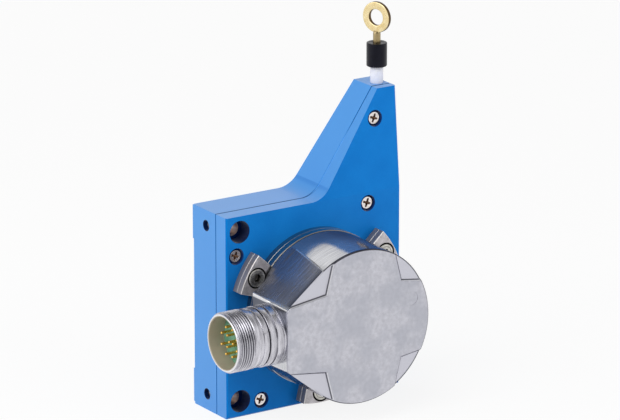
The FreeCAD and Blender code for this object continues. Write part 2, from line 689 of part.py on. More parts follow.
def flange_screws():
    """Three low-head socket screws through the lugs."""
    screws = []
    seat_y = UPPER_FRONT_Y + LUG_BORE_DEPTH
    top = seat_y - LUG_HEAD_H
    for angle in LUG_ANGLES:
        x, z = polar(LUG_SCREW_CIRCLE, angle)
        rim = LUG_HEAD_BREAK
        screw = turned_y([(0, top), (LUG_HEAD_R - rim, top), (LUG_HEAD_R, top + rim), (LUG_HEAD_R, seat_y),
                          (LUG_SCREW_R, seat_y), (LUG_SCREW_R, INNER_FRONT_Y), (0, INNER_FRONT_Y)], x, z)
        corner = SOCKET_ACROSS / math.sqrt(3)
        hexagon = [polar(corner, 60.0 * n, x, z) for n in range(6)]
        screws.append(screw.cut(prism_y(hexagon, top, top + SOCKET_DEPTH)))
    return Part.makeCompound(screws)


def cap_boss_places():
    """Centres of the bosses inside the cap."""
    return [polar(CAP_BOSS_CIRCLE, angle) for angle in CAP_BOSS_ANGLES]


def crease_place(reach, half, round_r, past):
    """Point about the drum's axis where the block's side meets the round cap, past the tangent's point."""
    tangent = math.atan2(half, -reach) - math.acos(round_r / math.hypot(reach, half))
    return polar(round_r, math.degrees(tangent) - past, 0.0, 0.0)


def block_outline(reach, half, round_r, past):
    """Outline of the connector block: a flat, and two sides that run to the creases on the round cap."""
    tx, tz = crease_place(reach, half, round_r, past)
    return [(-reach, -half), (-reach, half), (tx, tz), (0.0, tz / 2), (0.0, -tz / 2), (tx, -tz)]


def beyond_side(reach, half, round_r, past, up):
    """Outline of the room outside one of the block's side planes."""
    tx, tz = crease_place(reach, half, round_r, past)
    run_x = (tx + reach) * (1 + SIDE_PAST)
    run_z = (tz - half) * (1 + SIDE_PAST)
    end_x, end_z = run_x - reach, run_z + half
    points = [(-reach, half), (end_x, end_z), (end_x - run_z, end_z + run_x), (-reach - run_z, half + run_x)]
    return [(x, up * z) for x, z in points]


def outline_wire(points, y):
    """Closed wire at a depth from (x, z) points about the drum's axis."""
    corners = [V(AXIS_X + x, y, AXIS_Z + z) for x, z in points]
    return Part.makePolygon(corners + corners[:1])


def cap_form():
    """Outer form of the cap: round body with draft, and the connector's block with two rounded edges."""
    body = Part.makeCone(CAP_R, CAP_BASE_R, CAP_DEPTH, V(AXIS_X, CAP_FRONT_Y, AXIS_Z), V(0, 1, 0))
    back_y = UPPER_FRONT_Y - BLOCK_BACK
    rear = (BLOCK_REAR_REACH, BLOCK_REAR_HALF, BLOCK_REAR_ROUND_R, CREASE_REAR)
    front = (BLOCK_REACH, BLOCK_HALF, CAP_R, CREASE_FRONT)
    rear_wire = outline_wire(block_outline(*rear), back_y)
    front_wire = outline_wire(block_outline(*front), CAP_FRONT_Y)
    shape = body.fuse(Part.makeLoft([rear_wire, front_wire], True, True))
    for up in (1, -1):
        rear_wire = outline_wire(beyond_side(*rear, up), back_y)
        front_wire = outline_wire(beyond_side(*front, up), CAP_FRONT_Y)
        shape = shape.cut(Part.makeLoft([rear_wire, front_wire], True, True))
    shape = shape.removeSplitter()
    clear_r = (CAP_R + BLOCK_REACH) / 2
    long_edges = [e for e in shape.Edges if e.Length > CAP_DEPTH / 2
                  and all(math.hypot(v.Point.x - AXIS_X, v.Point.z - AXIS_Z) > clear_r for v in e.Vertexes)
                  and abs(e.Vertexes[0].Point.y - e.Vertexes[-1].Point.y) > CAP_DEPTH / 2]
    return shape.makeFillet(BLOCK_ROUND, long_edges)


def facet_outline(inner, rim, side, up, shift):
    """One facet about the drum's axis: inner corner, rim end, corner outside, side end, moved outwards."""
    out = math.copysign(shift, side[0])
    corner_x = math.copysign(BLOCK_REAR_REACH, side[0])
    points = [(CAP_R * inner[0], CAP_R * inner[1]), (CAP_R * rim[0], CAP_R * rim[1]),
              (corner_x, CAP_BASE_R), (CAP_R * side[0], CAP_R * side[1])]
    return [(x + out, up * (z + shift)) for x, z in points]


def facets():
    """Four shallow recesses in the corners of the cap's face, with sloping walls."""
    cuts = []
    for inner, rim, side in zip(FACET_INNER, FACET_RIM, FACET_SIDE):
        for up in (1, -1):
            face = outline_wire(facet_outline(inner, rim, side, up, 0.0), CAP_FRONT_Y)
            floor = outline_wire(facet_outline(inner, rim, side, up, FACET_SLOPE), CAP_FRONT_Y + FACET_DEPTH)
            cuts.append(Part.makeLoft([face, floor], True, True))
    return cuts


def cap_room():
    """Hollow of the cap: round room, and a square one in the connector's block."""
    front_y = CAP_FRONT_Y + CAP_WALL
    reach = BLOCK_REACH - CAP_WALL
    half = BLOCK_HALF - CAP_WALL
    round_room = along_y(CAP_ROOM_R, UPPER_FRONT_Y, front_y)
    back_y = UPPER_FRONT_Y - BLOCK_BACK - CAP_WALL
    return round_room.fuse(block(AXIS_X - reach, AXIS_X, back_y, front_y, AXIS_Z - half, AXIS_Z + half))


def cap_boss(x, z, angle):
    """Screw boss in the cap, with the rib that ties it to the round wall."""
    front_y = CAP_FRONT_Y + CAP_WALL / 2
    half = CAP_BOSS_R / 2
    boss = along_y(CAP_BOSS_R, UPPER_FRONT_Y - CAP_BOSS_GAP, front_y, x, z)
    rib_back = UPPER_FRONT_Y - CAP_SPIGOT_H - CAP_RIB_GAP
    rib = block(AXIS_X + CAP_BOSS_CIRCLE, AXIS_X + CAP_ROOM_R + CAP_WALL / 2, rib_back, front_y,
                AXIS_Z - half, AXIS_Z + half)
    rib.rotate(V(AXIS_X, 0, AXIS_Z), V(0, 1, 0), -angle)
    return boss.fuse(rib)


def encoder_cap():
    """Die-cast cap: hollow round body, connector block, screw bosses, facets and a mark in its face."""
    shape = cap_form()
    front_edges = [e for e in shape.Edges if all(abs(v.Point.y - CAP_FRONT_Y) < 1e-6 for v in e.Vertexes)]
    shape = shape.makeFillet(CAP_ROUND, front_edges)
    shape = shape.cut(ring_y(CAP_R - CAP_SEAM_IN, CAP_BASE_R, UPPER_FRONT_Y, UPPER_FRONT_Y - CAP_SEAM_H))
    shape = shape.cut(cap_room())
    for (x, z), angle in zip(cap_boss_places(), CAP_BOSS_ANGLES):
        shape = shape.fuse(cap_boss(x, z, angle))
        shape = shape.cut(along_y(CAP_SCREW_R, UPPER_FRONT_Y, LOWER_FRONT_Y - CAP_SCREW_LENGTH, x, z))
    for facet in facets():
        shape = shape.cut(facet)
    mark_x = AXIS_X + CAP_R * MARK_PLACE[0]
    mark_z = AXIS_Z + CAP_R * MARK_PLACE[1]
    shape = shape.cut(along_y(MARK_R, CAP_FRONT_Y, CAP_FRONT_Y + MARK_DEPTH, mark_x, mark_z))
    shape = shape.cut(along_x(SEAT_R, BLOCK_X, AXIS_X - BLOCK_REAR_REACH, CONNECTOR_Y, AXIS_Z))
    hole_r = CAP_TUBE_R + CAP_TUBE_FIT
    return shape.cut(along_x(hole_r, BLOCK_X, BLOCK_X + CAP_TUBE_IN, CONNECTOR_Y, AXIS_Z))


def cap_screws():
    """Countersunk-style screws that hold the cap from behind its flange."""
    screws = []
    head_y = LOWER_FRONT_Y - CAP_SCREW_HEAD_H
    end_y = LOWER_FRONT_Y - CAP_SCREW_LENGTH
    for x, z in cap_boss_places():
        head = along_y(CAP_SCREW_HEAD_R, LOWER_FRONT_Y, head_y, x, z)
        screws.append(head.fuse(along_y(CAP_SCREW_R, LOWER_FRONT_Y, end_y, x, z)))
    return Part.makeCompound(screws)


def cap_seal():
    """Rubber ring between the flange's lip and the cap."""
    back, front = seal_groove_y()
    inner = CAP_SPIGOT_R - CAP_SEAL_DEPTH + CAP_SEAL_FIT
    return ring_y(inner, CAP_ROOM_R - CAP_SEAL_FIT, back - CAP_SEAL_FIT, front + CAP_SEAL_FIT)


def shaft_seal():
    """Lip seal ring behind the first encoder bearing."""
    back = SPIGOT_Y
    lip = ENCODER_SHAFT_R + SEAL_LIP_GAP
    rim = lip + SEAL_LIP_IN
    return turned_y([(lip, back), (ENCODER_BEARING_R, back), (ENCODER_BEARING_R, back - SEAL_W),
                     (rim, back - SEAL_W), (rim, back - SEAL_W / 2), (lip, back - SEAL_W / 2)])


def encoder_shaft():
    """Shaft of the encoder, from the drum shaft's socket to the code disc."""
    return along_y(ENCODER_SHAFT_R, SOCKET_Y, SHAFT_FRONT_Y)


def disc_hub():
    """Collar on the encoder's shaft that carries the code disc."""
    return ring_y(ENCODER_SHAFT_R, DISC_HUB_R, DISC_Y + DISC_HUB_H, DISC_Y)


def code_disc():
    """Glass disc that the scanning head reads."""
    return ring_y(DISC_BORE_R, DISC_R, DISC_Y, DISC_Y - DISC_THICK)


def lamp_block():
    """Light source on the flange, behind the code disc."""
    return along_y(LAMP_R, UPPER_FRONT_Y, DISC_Y + SCAN_GAP, AXIS_X, AXIS_Z + DISC_R - LAMP_IN_DISC)


def scanning_head():
    """Sensor chip package on the circuit board, in front of the code disc."""
    width, height = SCAN_SIZE
    z = AXIS_Z + DISC_R - SCAN_IN_DISC
    return block(AXIS_X - width / 2, AXIS_X + width / 2, BOARD_Y, DISC_Y - DISC_THICK - SCAN_GAP,
                 z - height / 2, z + height / 2)


def circuit_board():
    """Round circuit board on three pillars."""
    return along_y(BOARD_R, BOARD_Y, BOARD_Y - BOARD_THICK)


def board_pillars():
    """Spacers between the flange and the circuit board."""
    places = [polar(BOARD_R - PILLAR_TO_RIM, angle) for angle in PILLAR_ANGLES]
    return Part.makeCompound([along_y(PILLAR_R, UPPER_FRONT_Y, BOARD_Y, x, z) for x, z in places])


def connector_collar():
    """Fixed collar of the connector: tube into the cap, grooves, and a flat for the spanner."""
    bore = CONNECTOR_BORE_R
    profile = [(bore, -CAP_TUBE_IN), (CAP_TUBE_R, -CAP_TUBE_IN), (CAP_TUBE_R, 0), (COLLAR_R, 0)]
    for (start, end), depth_r in ((RIM_GROOVE, RIM_GROOVE_R), (COLLAR_GROOVE, COLLAR_GROOVE_R)):
        profile += [(COLLAR_R, start), (depth_r, start), (depth_r, end), (COLLAR_R, end)]
    profile += [(COLLAR_R, COLLAR_LENGTH), (bore, COLLAR_LENGTH)]
    shape = turned_x(profile)
    half = FLAT_WIDTH / 2
    for side in (1, -1):
        flat_y = CONNECTOR_Y + side * (COLLAR_R - FLAT_DEPTH)
        edge_y = CONNECTOR_Y + side * COLLAR_R
        shape = shape.cut(block(BLOCK_X - RIM_GROOVE[1], BLOCK_X - COLLAR_GROOVE[0], flat_y, edge_y,
                                AXIS_Z - half, AXIS_Z + half))
    return shape


def connector_shell():
    """Threaded barrel of the connector, open at the mouth."""
    bore = BARREL_BORE_R
    start = COLLAR_LENGTH
    step = start + GAP_RING_W
    end = CONNECTOR_LENGTH
    thread_end = end - LEAD_IN_LENGTH
    inside = end - INSERT_DEPTH - PIN_ROOT
    profile = [(CONNECTOR_BORE_R, start), (GAP_RING_R, start), (GAP_RING_R, step), (BARREL_BAND_R, step),
               (BARREL_BAND_R, NECK_BAND[0]), (NECK_BAND_R, NECK_BAND[0]), (NECK_BAND_R, NECK_BAND[1]),
               (THREAD_R, NECK_BAND[1]), (THREAD_R, thread_end), (LEAD_IN_R, thread_end),
               (LEAD_IN_R, end - MOUTH_BREAK), (LEAD_IN_R - MOUTH_BREAK, end),
               (bore, end), (bore, inside), (CONNECTOR_BORE_R, inside)]
    return turned_x(profile)


def pin_places():
    """Centres of the contact pins about the connector's axis, as (y, z)."""
    places = []
    for count, radius in zip(PIN_COUNTS, PIN_CIRCLES):
        for n in range(count):
            turn = 2 * math.pi * (n + 0.5) / count
            places.append((CONNECTOR_Y + radius * math.cos(turn), AXIS_Z + radius * math.sin(turn)))
    return places


def connector_insert():
    """Insulating insert that holds the pins, with the key that codes the plug."""
    face_x = MOUTH_X + INSERT_DEPTH
    back_x = BLOCK_X + CAP_TUBE_IN
    step_x = face_x + PIN_ROOT
    radius = BARREL_BORE_R
    shape = along_x(radius, face_x, step_x, CONNECTOR_Y, AXIS_Z)
    shape = shape.fuse(along_x(CONNECTOR_BORE_R, step_x, back_x, CONNECTOR_Y, AXIS_Z))
    half = KEY_WIDTH / 2
    key_top = AXIS_Z + radius - KEY_GAP
    key = block(face_x - INSERT_DEPTH / 2, face_x, CONNECTOR_Y - half, CONNECTOR_Y + half,
                key_top - KEY_HEIGHT, key_top)
    shape = shape.fuse(key)
    for y, z in pin_places():
        shape = shape.cut(along_x(PIN_R, face_x, face_x + PIN_ROOT / 2, y, z))
    return shape


def contact_pins():
    """Contact pins of the connector, each a separate solid."""
    tip_x = MOUTH_X + PIN_BELOW_RIM
    root_x = MOUTH_X + INSERT_DEPTH + PIN_ROOT / 2
    return Part.makeCompound([along_x(PIN_R, tip_x, root_x, y, z) for y, z in pin_places()])


def wire_nozzle():
    """Plastic nozzle at the top of the neck that guides the wire."""
    foot = NECK_TOP_Z - NOZZLE_SPIGOT_L
    lip = NOZZLE_TOP_Z - NOZZLE_LIP_H
    funnel_r = NOZZLE_BORE_R + NOZZLE_FUNNEL
    funnel_z = NOZZLE_TOP_Z - NOZZLE_FUNNEL
    profile = [(NOZZLE_BORE_R, foot), (NOZZLE_SPIGOT_R, foot), (NOZZLE_SPIGOT_R, NECK_TOP_Z),
               (NOZZLE_R, NECK_TOP_Z), (NOZZLE_R, lip), (NOZZLE_LIP_R, lip), (NOZZLE_LIP_R, NOZZLE_TOP_Z),
               (funnel_r, NOZZLE_TOP_Z), (NOZZLE_BORE_R, funnel_z)]
    return turned_z(profile)


def wire_wiper():
    """Felt ring under the nozzle that keeps dirt off the drum."""
    top = NECK_TOP_Z - NOZZLE_SPIGOT_L
    foot = top - WIPER_L
    inner = WIRE_D / 2 + WIPER_GAP
    return turned_z([(inner, foot), (NOZZLE_SPIGOT_R, foot), (NOZZLE_SPIGOT_R, top), (inner, top)])


def measuring_wire():
    """Straight run of the wire from beside the drum to the ferrule."""
    return along_z(WIRE_D / 2, AXIS_Z + WIRE_LEAVES, STEM_Z + STEM_FLOOR + FERRULE_GAP)


def wire_ferrule():
    """Ferrule crimped on the wire's end, trapped inside the eye's stem."""
    foot = STEM_Z + STEM_FLOOR + FERRULE_GAP
    return along_z(FERRULE_R, foot, foot + FERRULE_L)


def stop_sleeve():
    """Buffer sleeve that meets the nozzle when the wire is fully in."""
    bore = STEM_R + STEM_FIT
    top = SLEEVE_Z + SLEEVE_L
    floor = SLEEVE_Z + SLEEVE_FLOOR
    edge = SLEEVE_BREAK
    rim = SLEEVE_R - edge
    profile = [(WIRE_BORE_R, SLEEVE_Z), (rim, SLEEVE_Z), (SLEEVE_R, SLEEVE_Z + edge), (SLEEVE_R, top - edge),
               (rim, top), (bore, top), (bore, floor), (WIRE_BORE_R, floor)]
    return turned_z(profile)


def across_ring(radius, length):
    """Bar through the ring's centre, along the ring's axis."""
    bar = Part.makeCylinder(radius, length, V(WIRE_X, WIRE_Y - length / 2, RING_Z), V(0, 1, 0))
    bar.rotate(V(WIRE_X, WIRE_Y, 0), V(0, 0, 1), RING_TURN)
    return bar


def ring_eye():
    """Brass ring on a stem; the stem turns about the ferrule inside it."""
    stem = along_z(STEM_R, STEM_Z, RING_Z - RING_R + RING_OVERLAP)
    shape = stem.fuse(across_ring(RING_R, RING_THICK)).cut(across_ring(RING_HOLE_R, 4 * STEM_R))
    room_foot = STEM_Z + STEM_FLOOR
    shape = shape.cut(along_z(WIRE_BORE_R, STEM_Z, room_foot))
    room_top = room_foot + FERRULE_L + 2 * FERRULE_GAP
    return shape.cut(along_z(FERRULE_R + FERRULE_GAP, room_foot, room_top))


def bearing_nodes():
    """Rings and shields of the three bearings."""
    rear = rear_bearing()
    front = encoder_bearings()
    return {
        "shaft_bearing_outer": outer_race(*rear),
        "shaft_bearing_inner": inner_race(*rear),
        "shaft_bearing_shield": shield(*rear),
        "encoder_bearing_outers": Part.makeCompound([outer_race(*b) for b in front]),
        "encoder_bearing_inners": Part.makeCompound([inner_race(*b) for b in front]),
        "encoder_bearing_shields": Part.makeCompound([shield(*b) for b in front]),
    }


NODES = {
    "rear_shell": rear_shell(),
    "front_shell": front_shell(),
    "shell_screws": shell_screws(),
    "wire_drum": drum(),
    "wound_wire": wound_wire(),
    "drum_shaft": drum_shaft(),
    "spring_arbor": spring_arbor(),
    "spring_cup": spring_cup(),
    "spring_cover": spring_cover(),
    "power_spring": power_spring(),
    "encoder_ring": encoder_ring(),
    "encoder_flange": encoder_flange(),
    "flange_screws": flange_screws(),
    "encoder_cap": encoder_cap(),
    "cap_screws": cap_screws(),
    "cap_seal": cap_seal(),
    "shaft_seal": shaft_seal(),
    "encoder_shaft": encoder_shaft(),
    "disc_hub": disc_hub(),
    "code_disc": code_disc(),
    "lamp_block": lamp_block(),
    "scanning_head": scanning_head(),
    "circuit_board": circuit_board(),
    "board_pillars": board_pillars(),
    "connector_collar": connector_collar(),
    "connector_shell": connector_shell(),
    "connector_insert": connector_insert(),
    "contact_pins": contact_pins(),
    "wire_nozzle": wire_nozzle(),
    "wire_wiper": wire_wiper(),
    "measuring_wire": measuring_wire(),
    "wire_ferrule": wire_ferrule(),
    "stop_sleeve": stop_sleeve(),
    "ring_eye": ring_eye(),
}
NODES.update(bearing_nodes())

for name, shape in NODES.items():
    shape.exportStep("parts/" + name + ".step")
    print(name, "solids", len(shape.Solids), "volume", round(shape.Volume, 1), "valid", shape.isValid())
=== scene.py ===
"""Visual model of a draw wire encoder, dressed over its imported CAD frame.

Frame: metres, +Z is the way the wire is pulled, -Y is the side that carries the encoder.
The origin is the middle of the two fixing holes. Sizes below are written in millimetres.
"""
import math

import bpy
import numpy as np
from mathutils import Matrix, Vector


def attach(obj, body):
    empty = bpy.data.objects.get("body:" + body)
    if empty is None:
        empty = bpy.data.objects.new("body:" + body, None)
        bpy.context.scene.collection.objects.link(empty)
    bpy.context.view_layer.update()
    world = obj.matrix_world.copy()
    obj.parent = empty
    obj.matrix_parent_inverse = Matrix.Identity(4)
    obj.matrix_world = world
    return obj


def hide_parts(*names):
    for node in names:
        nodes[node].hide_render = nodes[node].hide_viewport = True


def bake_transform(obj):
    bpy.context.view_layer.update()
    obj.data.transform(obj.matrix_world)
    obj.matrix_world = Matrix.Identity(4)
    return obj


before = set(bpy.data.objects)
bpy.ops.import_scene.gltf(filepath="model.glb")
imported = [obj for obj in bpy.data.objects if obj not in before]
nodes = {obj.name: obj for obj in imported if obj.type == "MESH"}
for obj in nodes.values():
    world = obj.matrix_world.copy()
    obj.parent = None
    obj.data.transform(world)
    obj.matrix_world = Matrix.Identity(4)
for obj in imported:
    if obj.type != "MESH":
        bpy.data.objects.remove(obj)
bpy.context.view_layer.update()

MM = 0.001

# Housing
FLOOR_Z = -39.8
PARTING_Y = -17.1
FAINT_JOINT_Z = 60.0          # below this height painted light makes the joint faint on the neck's slope
FIXING_HOLES = ((0.0, -33.45), (0.0, 33.45))
FIXING_HOLE_R = 2.75
COUNTERBORE_R = 4.3
SIDE_HOLE_Y = -10.3
SIDE_HOLE_R = 2.1
SIDE_HOLE_PAST_X = 12.0       # past the inner ends of the side holes
SIDE_THREAD_X = -4.1          # the bare thread starts here, inside the hole's mouth
AXIS_X = 33.1                 # the drum's and the encoder's common axis
AXIS_Z = -0.6
SCREW_SEATS = ((29.4, 68.1, -19.31), (24.7, 35.9, -21.8), (-34.6, 24.7, -21.8), (-23.7, -34.1, -21.8),
               (33.2, -33.4, -21.8))
SCREW_POCKET_R = 3.15
SHELL_HEAD_R = 2.75
SHELL_DOME_R = 2.3            # the screw's domed top, inside the rounding of its head
SHELL_SCREW_END = -12.1
CROSS_HALF = 0.3              # half width of an arm of the screw's cross
CROSS_TURN = 0.35

# Plates of the encoder's flange
LOWER_FRONT_Y = -27.2
UPPER_FRONT_Y = -30.0
PLATE_RING_R = 31.1           # out of this radius only the lugs are left
LUG_ANGLES = (150.0, 30.0, -90.0)
LUG_CIRCLE = 33.5
LUG_BORE_R = 4.1
LUG_BORE_DEPTH = 2.0
LUG_HEAD_R = 3.5
LUG_HEAD_TOP = 2.2
LUG_SHANK_R = 2.0
LUG_SCREW_END = -7.5
HEXAGON_HALF = 1.45           # middle of the hexagon socket to one of its flats
HEXAGON_FLOOR = 0.3

# Encoder's cap
CAP_FRONT_Y = -57.9
CAP_BACK_Y = -34.0
CAP_R = 30.0
FACET_FLOOR_Y = CAP_FRONT_Y + 0.9
BLOCK_HALF = 12.3             # half height of the connector's block, where its edges carry a painted highlight
BLOCK_END_X = 12.1            # here the block has run into the round
CREASE_FRONT = (15.82, 24.53)  # a crease's x and its height off the axis, at the cap's front and back
CREASE_BACK = (18.95, 26.65)

# Connector, with lengths out of the flat of the cap's block
CONNECTOR_X = -0.1
CONNECTOR_Y = -45.7
MOUTH = 20.9
SOCKET_R = 10.0
SOCKET_BACK = 10.1
BARREL_FOOT = 6.9
BARREL_INNER_R = 9.0          # hidden bore behind the socket
BAND_R = 11.3
THREAD_R = 11.5
THREAD_NECK_R = 10.9          # the barrel beside its thread
THREAD_PITCH = 1.0
THREAD_DEPTH = 0.46
COLLAR_R = 11.6
COLLAR_FLAT_R = 11.25         # axis to a spanner flat
PIN_R = 0.5
PIN_ROOT = 12.1
PIN_TIP = MOUTH - 2.4
PIN_CIRCLES = ((8, 5.7), (3, 2.6), (1, 0.0))

# Wire and what it carries
WIRE_X = 68.9098
WIRE_Y = -13.5
WIRE_R = 0.275
WIRE_BORE_R = 0.45
WIRE_FOOT_Z = 6.8
WIRE_TOP_Z = 88.56
STRAND_LAY = 4.0              # height in which a strand goes round once
NECK_TOP_Z = 78.8
NOZZLE_FOOT_Z = 70.8
NOZZLE_TOP_Z = 85.3
NOZZLE_R = 2.5
NOZZLE_LIP_R = 2.2
NOZZLE_BORE_R = 0.6
SLEEVE_Z = 85.4
SLEEVE_TOP_Z = 94.6
SLEEVE_R = 3.95
SLEEVE_BORE_R = 1.51
STEM_Z = 87.48
STEM_R = 1.45
RING_Z = 104.48
RING_MIDDLE_R = 4.575
RING_HALF_WIDTH = 1.425
RING_HALF_THICKNESS = 0.8
RING_TURN = math.radians(-68.0)


def lug_place(angle):
    """x and z of a lug's screw, at its angle round the encoder's axis."""
    turn = math.radians(angle)
    return AXIS_X + LUG_CIRCLE * math.cos(turn), AXIS_Z + LUG_CIRCLE * math.sin(turn)


# Camera and light

# Solved from the photograph's edges with the sizes above
CAMERA_TURN = math.radians(-33.175)
CAMERA_TILT = math.radians(16.837)
CAMERA_PLACE = (-878.06, -1415.61, 539.91)
SENSOR_WIDTH = 36.0
FOCAL_LENGTH = 267.1

LAMP_AIM = (0.03, -0.02, 0.02)  # metres, the middle of the part


def place_camera():
    """Camera of the photograph: turned to the part's left, looking down, with a long lens."""
    level = math.cos(CAMERA_TILT)
    right = Vector((math.cos(CAMERA_TURN), math.sin(CAMERA_TURN), 0.0))
    back = Vector((math.sin(CAMERA_TURN) * level, -math.cos(CAMERA_TURN) * level, math.sin(CAMERA_TILT)))
    up = back.cross(right)
    lens = bpy.data.cameras.new("camera")
    lens.sensor_width = SENSOR_WIDTH
    lens.lens = FOCAL_LENGTH
    camera = bpy.data.objects.new("camera", lens)
    bpy.context.scene.collection.objects.link(camera)
    pose = Matrix((right, up, back)).transposed().to_4x4()
    pose.translation = Vector(CAMERA_PLACE) * MM
    camera.matrix_world = pose
    bpy.context.scene.camera = camera


def area_lamp(name, place, size, power):
    """Square soft box at a place, turned to the part; place and size in metres, power in watts."""
    data = bpy.data.lights.new(name, "AREA")
    data.shape = "SQUARE"
    data.size = size
    data.energy = power
    lamp = bpy.data.objects.new(name, data)
    bpy.context.scene.collection.objects.link(lamp)
    way = Vector(LAMP_AIM) - Vector(place)
    lamp.rotation_euler = way.to_track_quat("-Z", "Y").to_euler()
    lamp.location = place
    return lamp


place_camera()
scene = bpy.context.scene
scene.view_settings.view_transform = "Standard"
area_lamp("key_box", (-0.9, -0.5, 1.3), 1.4, 15.0)
area_lamp("left_box", (-1.5, 0.2, 0.5), 1.2, 6.0)
front_box = area_lamp("front_box", (0.9, -1.5, 0.35), 0.8, 8.0)
front_box.visible_glossy = False


# Shader helper and colours

PER_METRE = 1000.0            # a noise of this many patches in a metre has patches of 1 mm
GRAIN_SHARE = 0.35            # how much the grain also shifts the colour
PATCH_RANGE = (0.36, 0.64)    # nearly all values of the two noises together lie in here
GRAIN_RANGE = (0.3, 0.7)      # nearly all values of one noise


def linear(code):
    """Linear RGBA of an sRGB hex colour."""
    parts = np.array([int(code[i:i + 2], 16) for i in (0, 2, 4)]) / 255.0
    straight = parts / 12.92
    curved = ((parts + 0.055) / 1.055) ** 2.4
    return (*np.where(parts <= 0.04045, straight, curved).tolist(), 1.0)


def add(tree, kind, values=None, **settings):
    """Add one shader node with its settings; each input is set to a value or linked to a socket."""
    made = tree.nodes.new(kind)
    for key, value in settings.items():
        setattr(made, key, value)
    for key, value in (values or {}).items():
        socket = made.inputs[key]
        if isinstance(value, bpy.types.NodeSocket):
            tree.links.new(value, socket)
        else:
            socket.default_value = value
    return made


def surface_finish(name, dark, light, patch_mm, grain_mm, relief_mm, rough, metallic,
                   stretch=(1, 1, 1), **constants):
    """Finish whose colour drifts between two shades in patches, and whose grain gives gloss and relief.

    Returns the material, its node tree, the shader and the socket of the place.
    """
    made = bpy.data.materials.new(name)
    made.use_nodes = True
    tree = made.node_tree
    tree.nodes.clear()
    place = add(tree, "ShaderNodeTexCoord").outputs["Object"]
    drawn = add(tree, "ShaderNodeMapping", {"Vector": place, "Scale": stretch}).outputs[0]
    patches = add(tree, "ShaderNodeTexNoise", {
        "Vector": drawn, "Scale": PER_METRE / patch_mm, "Detail": 5.0}).outputs[0]
    grain = add(tree, "ShaderNodeTexNoise", {
        "Vector": drawn, "Scale": PER_METRE / grain_mm, "Detail": 2.0}).outputs[0]
    both = add(tree, "ShaderNodeMix", {0: GRAIN_SHARE, 2: patches, 3: grain}).outputs[0]
    spread = add(tree, "ShaderNodeMapRange", {
        "Value": both, "From Min": PATCH_RANGE[0], "From Max": PATCH_RANGE[1]}).outputs[0]
    colour = add(tree, "ShaderNodeMix", {0: spread, 6: linear(dark), 7: linear(light)}, data_type="RGBA")
    gloss = add(tree, "ShaderNodeMapRange", {
        "Value": grain, "From Min": GRAIN_RANGE[0], "From Max": GRAIN_RANGE[1],
        "To Min": rough[0], "To Max": rough[1]}).outputs[0]
    relief = add(tree, "ShaderNodeBump", {"Height": grain, "Strength": 1.0, "Distance": relief_mm * MM})
    shader = add(tree, "ShaderNodeBsdfPrincipled", {
        "Base Color": colour.outputs[2], "Metallic": metallic, "Roughness": gloss,
        "Normal": relief.outputs[0],
        **{key.replace("_", " "): value for key, value in constants.items()}})
    add(tree, "ShaderNodeOutputMaterial", {"Surface": shader.outputs[0]})
    return made, tree, shader, place


# Masks that tell where on the object a finish changes; lengths in millimetres

def ramp(tree, value, start, end, unit=MM, most=1.0):
    """0 at the start length, the most at the end length and beyond; a unit of 1 is for plain numbers."""
    return add(tree, "ShaderNodeMapRange", {
        "Value": value, "From Min": start * unit, "From Max": end * unit, "To Max": most}).outputs[0]


def band(tree, value, low, high, soft):
    """1 between two lengths, with soft ends inside them."""
    up = ramp(tree, value, low, low + soft)
    down = ramp(tree, value, high, high - soft)
    return add(tree, "ShaderNodeMath", {0: up, 1: down}, operation="MINIMUM").outputs[0]


def product(tree, *masks):
    """Where all masks are 1."""
    result = masks[0]
    for mask in masks[1:]:
        result = add(tree, "ShaderNodeMath", {0: result, 1: mask}, operation="MULTIPLY").outputs[0]
    return result


def largest(tree, *masks):
    """Where any mask is 1."""
    result = masks[0]
    for mask in masks[1:]:
        result = add(tree, "ShaderNodeMath", {0: result, 1: mask}, operation="MAXIMUM").outputs[0]
    return result


def split(tree, place):
    """The three lengths of a place."""
    return add(tree, "ShaderNodeSeparateXYZ", {0: place}).outputs


def from_line(tree, first, second, centre):
    """Distance in a plane from a centre; each is given by its two lengths, the centre in millimetres."""
    spot = add(tree, "ShaderNodeCombineXYZ", {0: first, 1: second}).outputs[0]
    middle = (centre[0] * MM, centre[1] * MM, 0.0)
    return add(tree, "ShaderNodeVectorMath", {0: spot, 1: middle}, operation="DISTANCE").outputs["Value"]


def near_axes(tree, place, centres, radius):
    """1 up to a radius round any of the axes along Y, so on the wall of a bore too."""
    x, _, z = split(tree, place)
    distances = [from_line(tree, x, z, centre) for centre in centres]
    return largest(tree, *[ramp(tree, distance, radius + 0.15, radius + 0.05) for distance in distances])


def lay_over(tree, shader, mask, colour=None, **changes):
    """Where the mask is 1, the shader's colour and other values become the new ones."""
    socket = shader.inputs["Base Color"]
    if colour:
        under = socket.links[0].from_socket
        mixed = add(tree, "ShaderNodeMix", {0: mask, 6: under, 7: linear(colour)}, data_type="RGBA")
        tree.links.new(mixed.outputs[2], socket)
    for key, value in changes.items():
        socket = shader.inputs[key]
        under = socket.links[0].from_socket if socket.is_linked else socket.default_value
        tree.links.new(add(tree, "ShaderNodeMix", {0: mask, 2: under, 3: value}).outputs[0], socket)


# Finishes, one for each real material and process

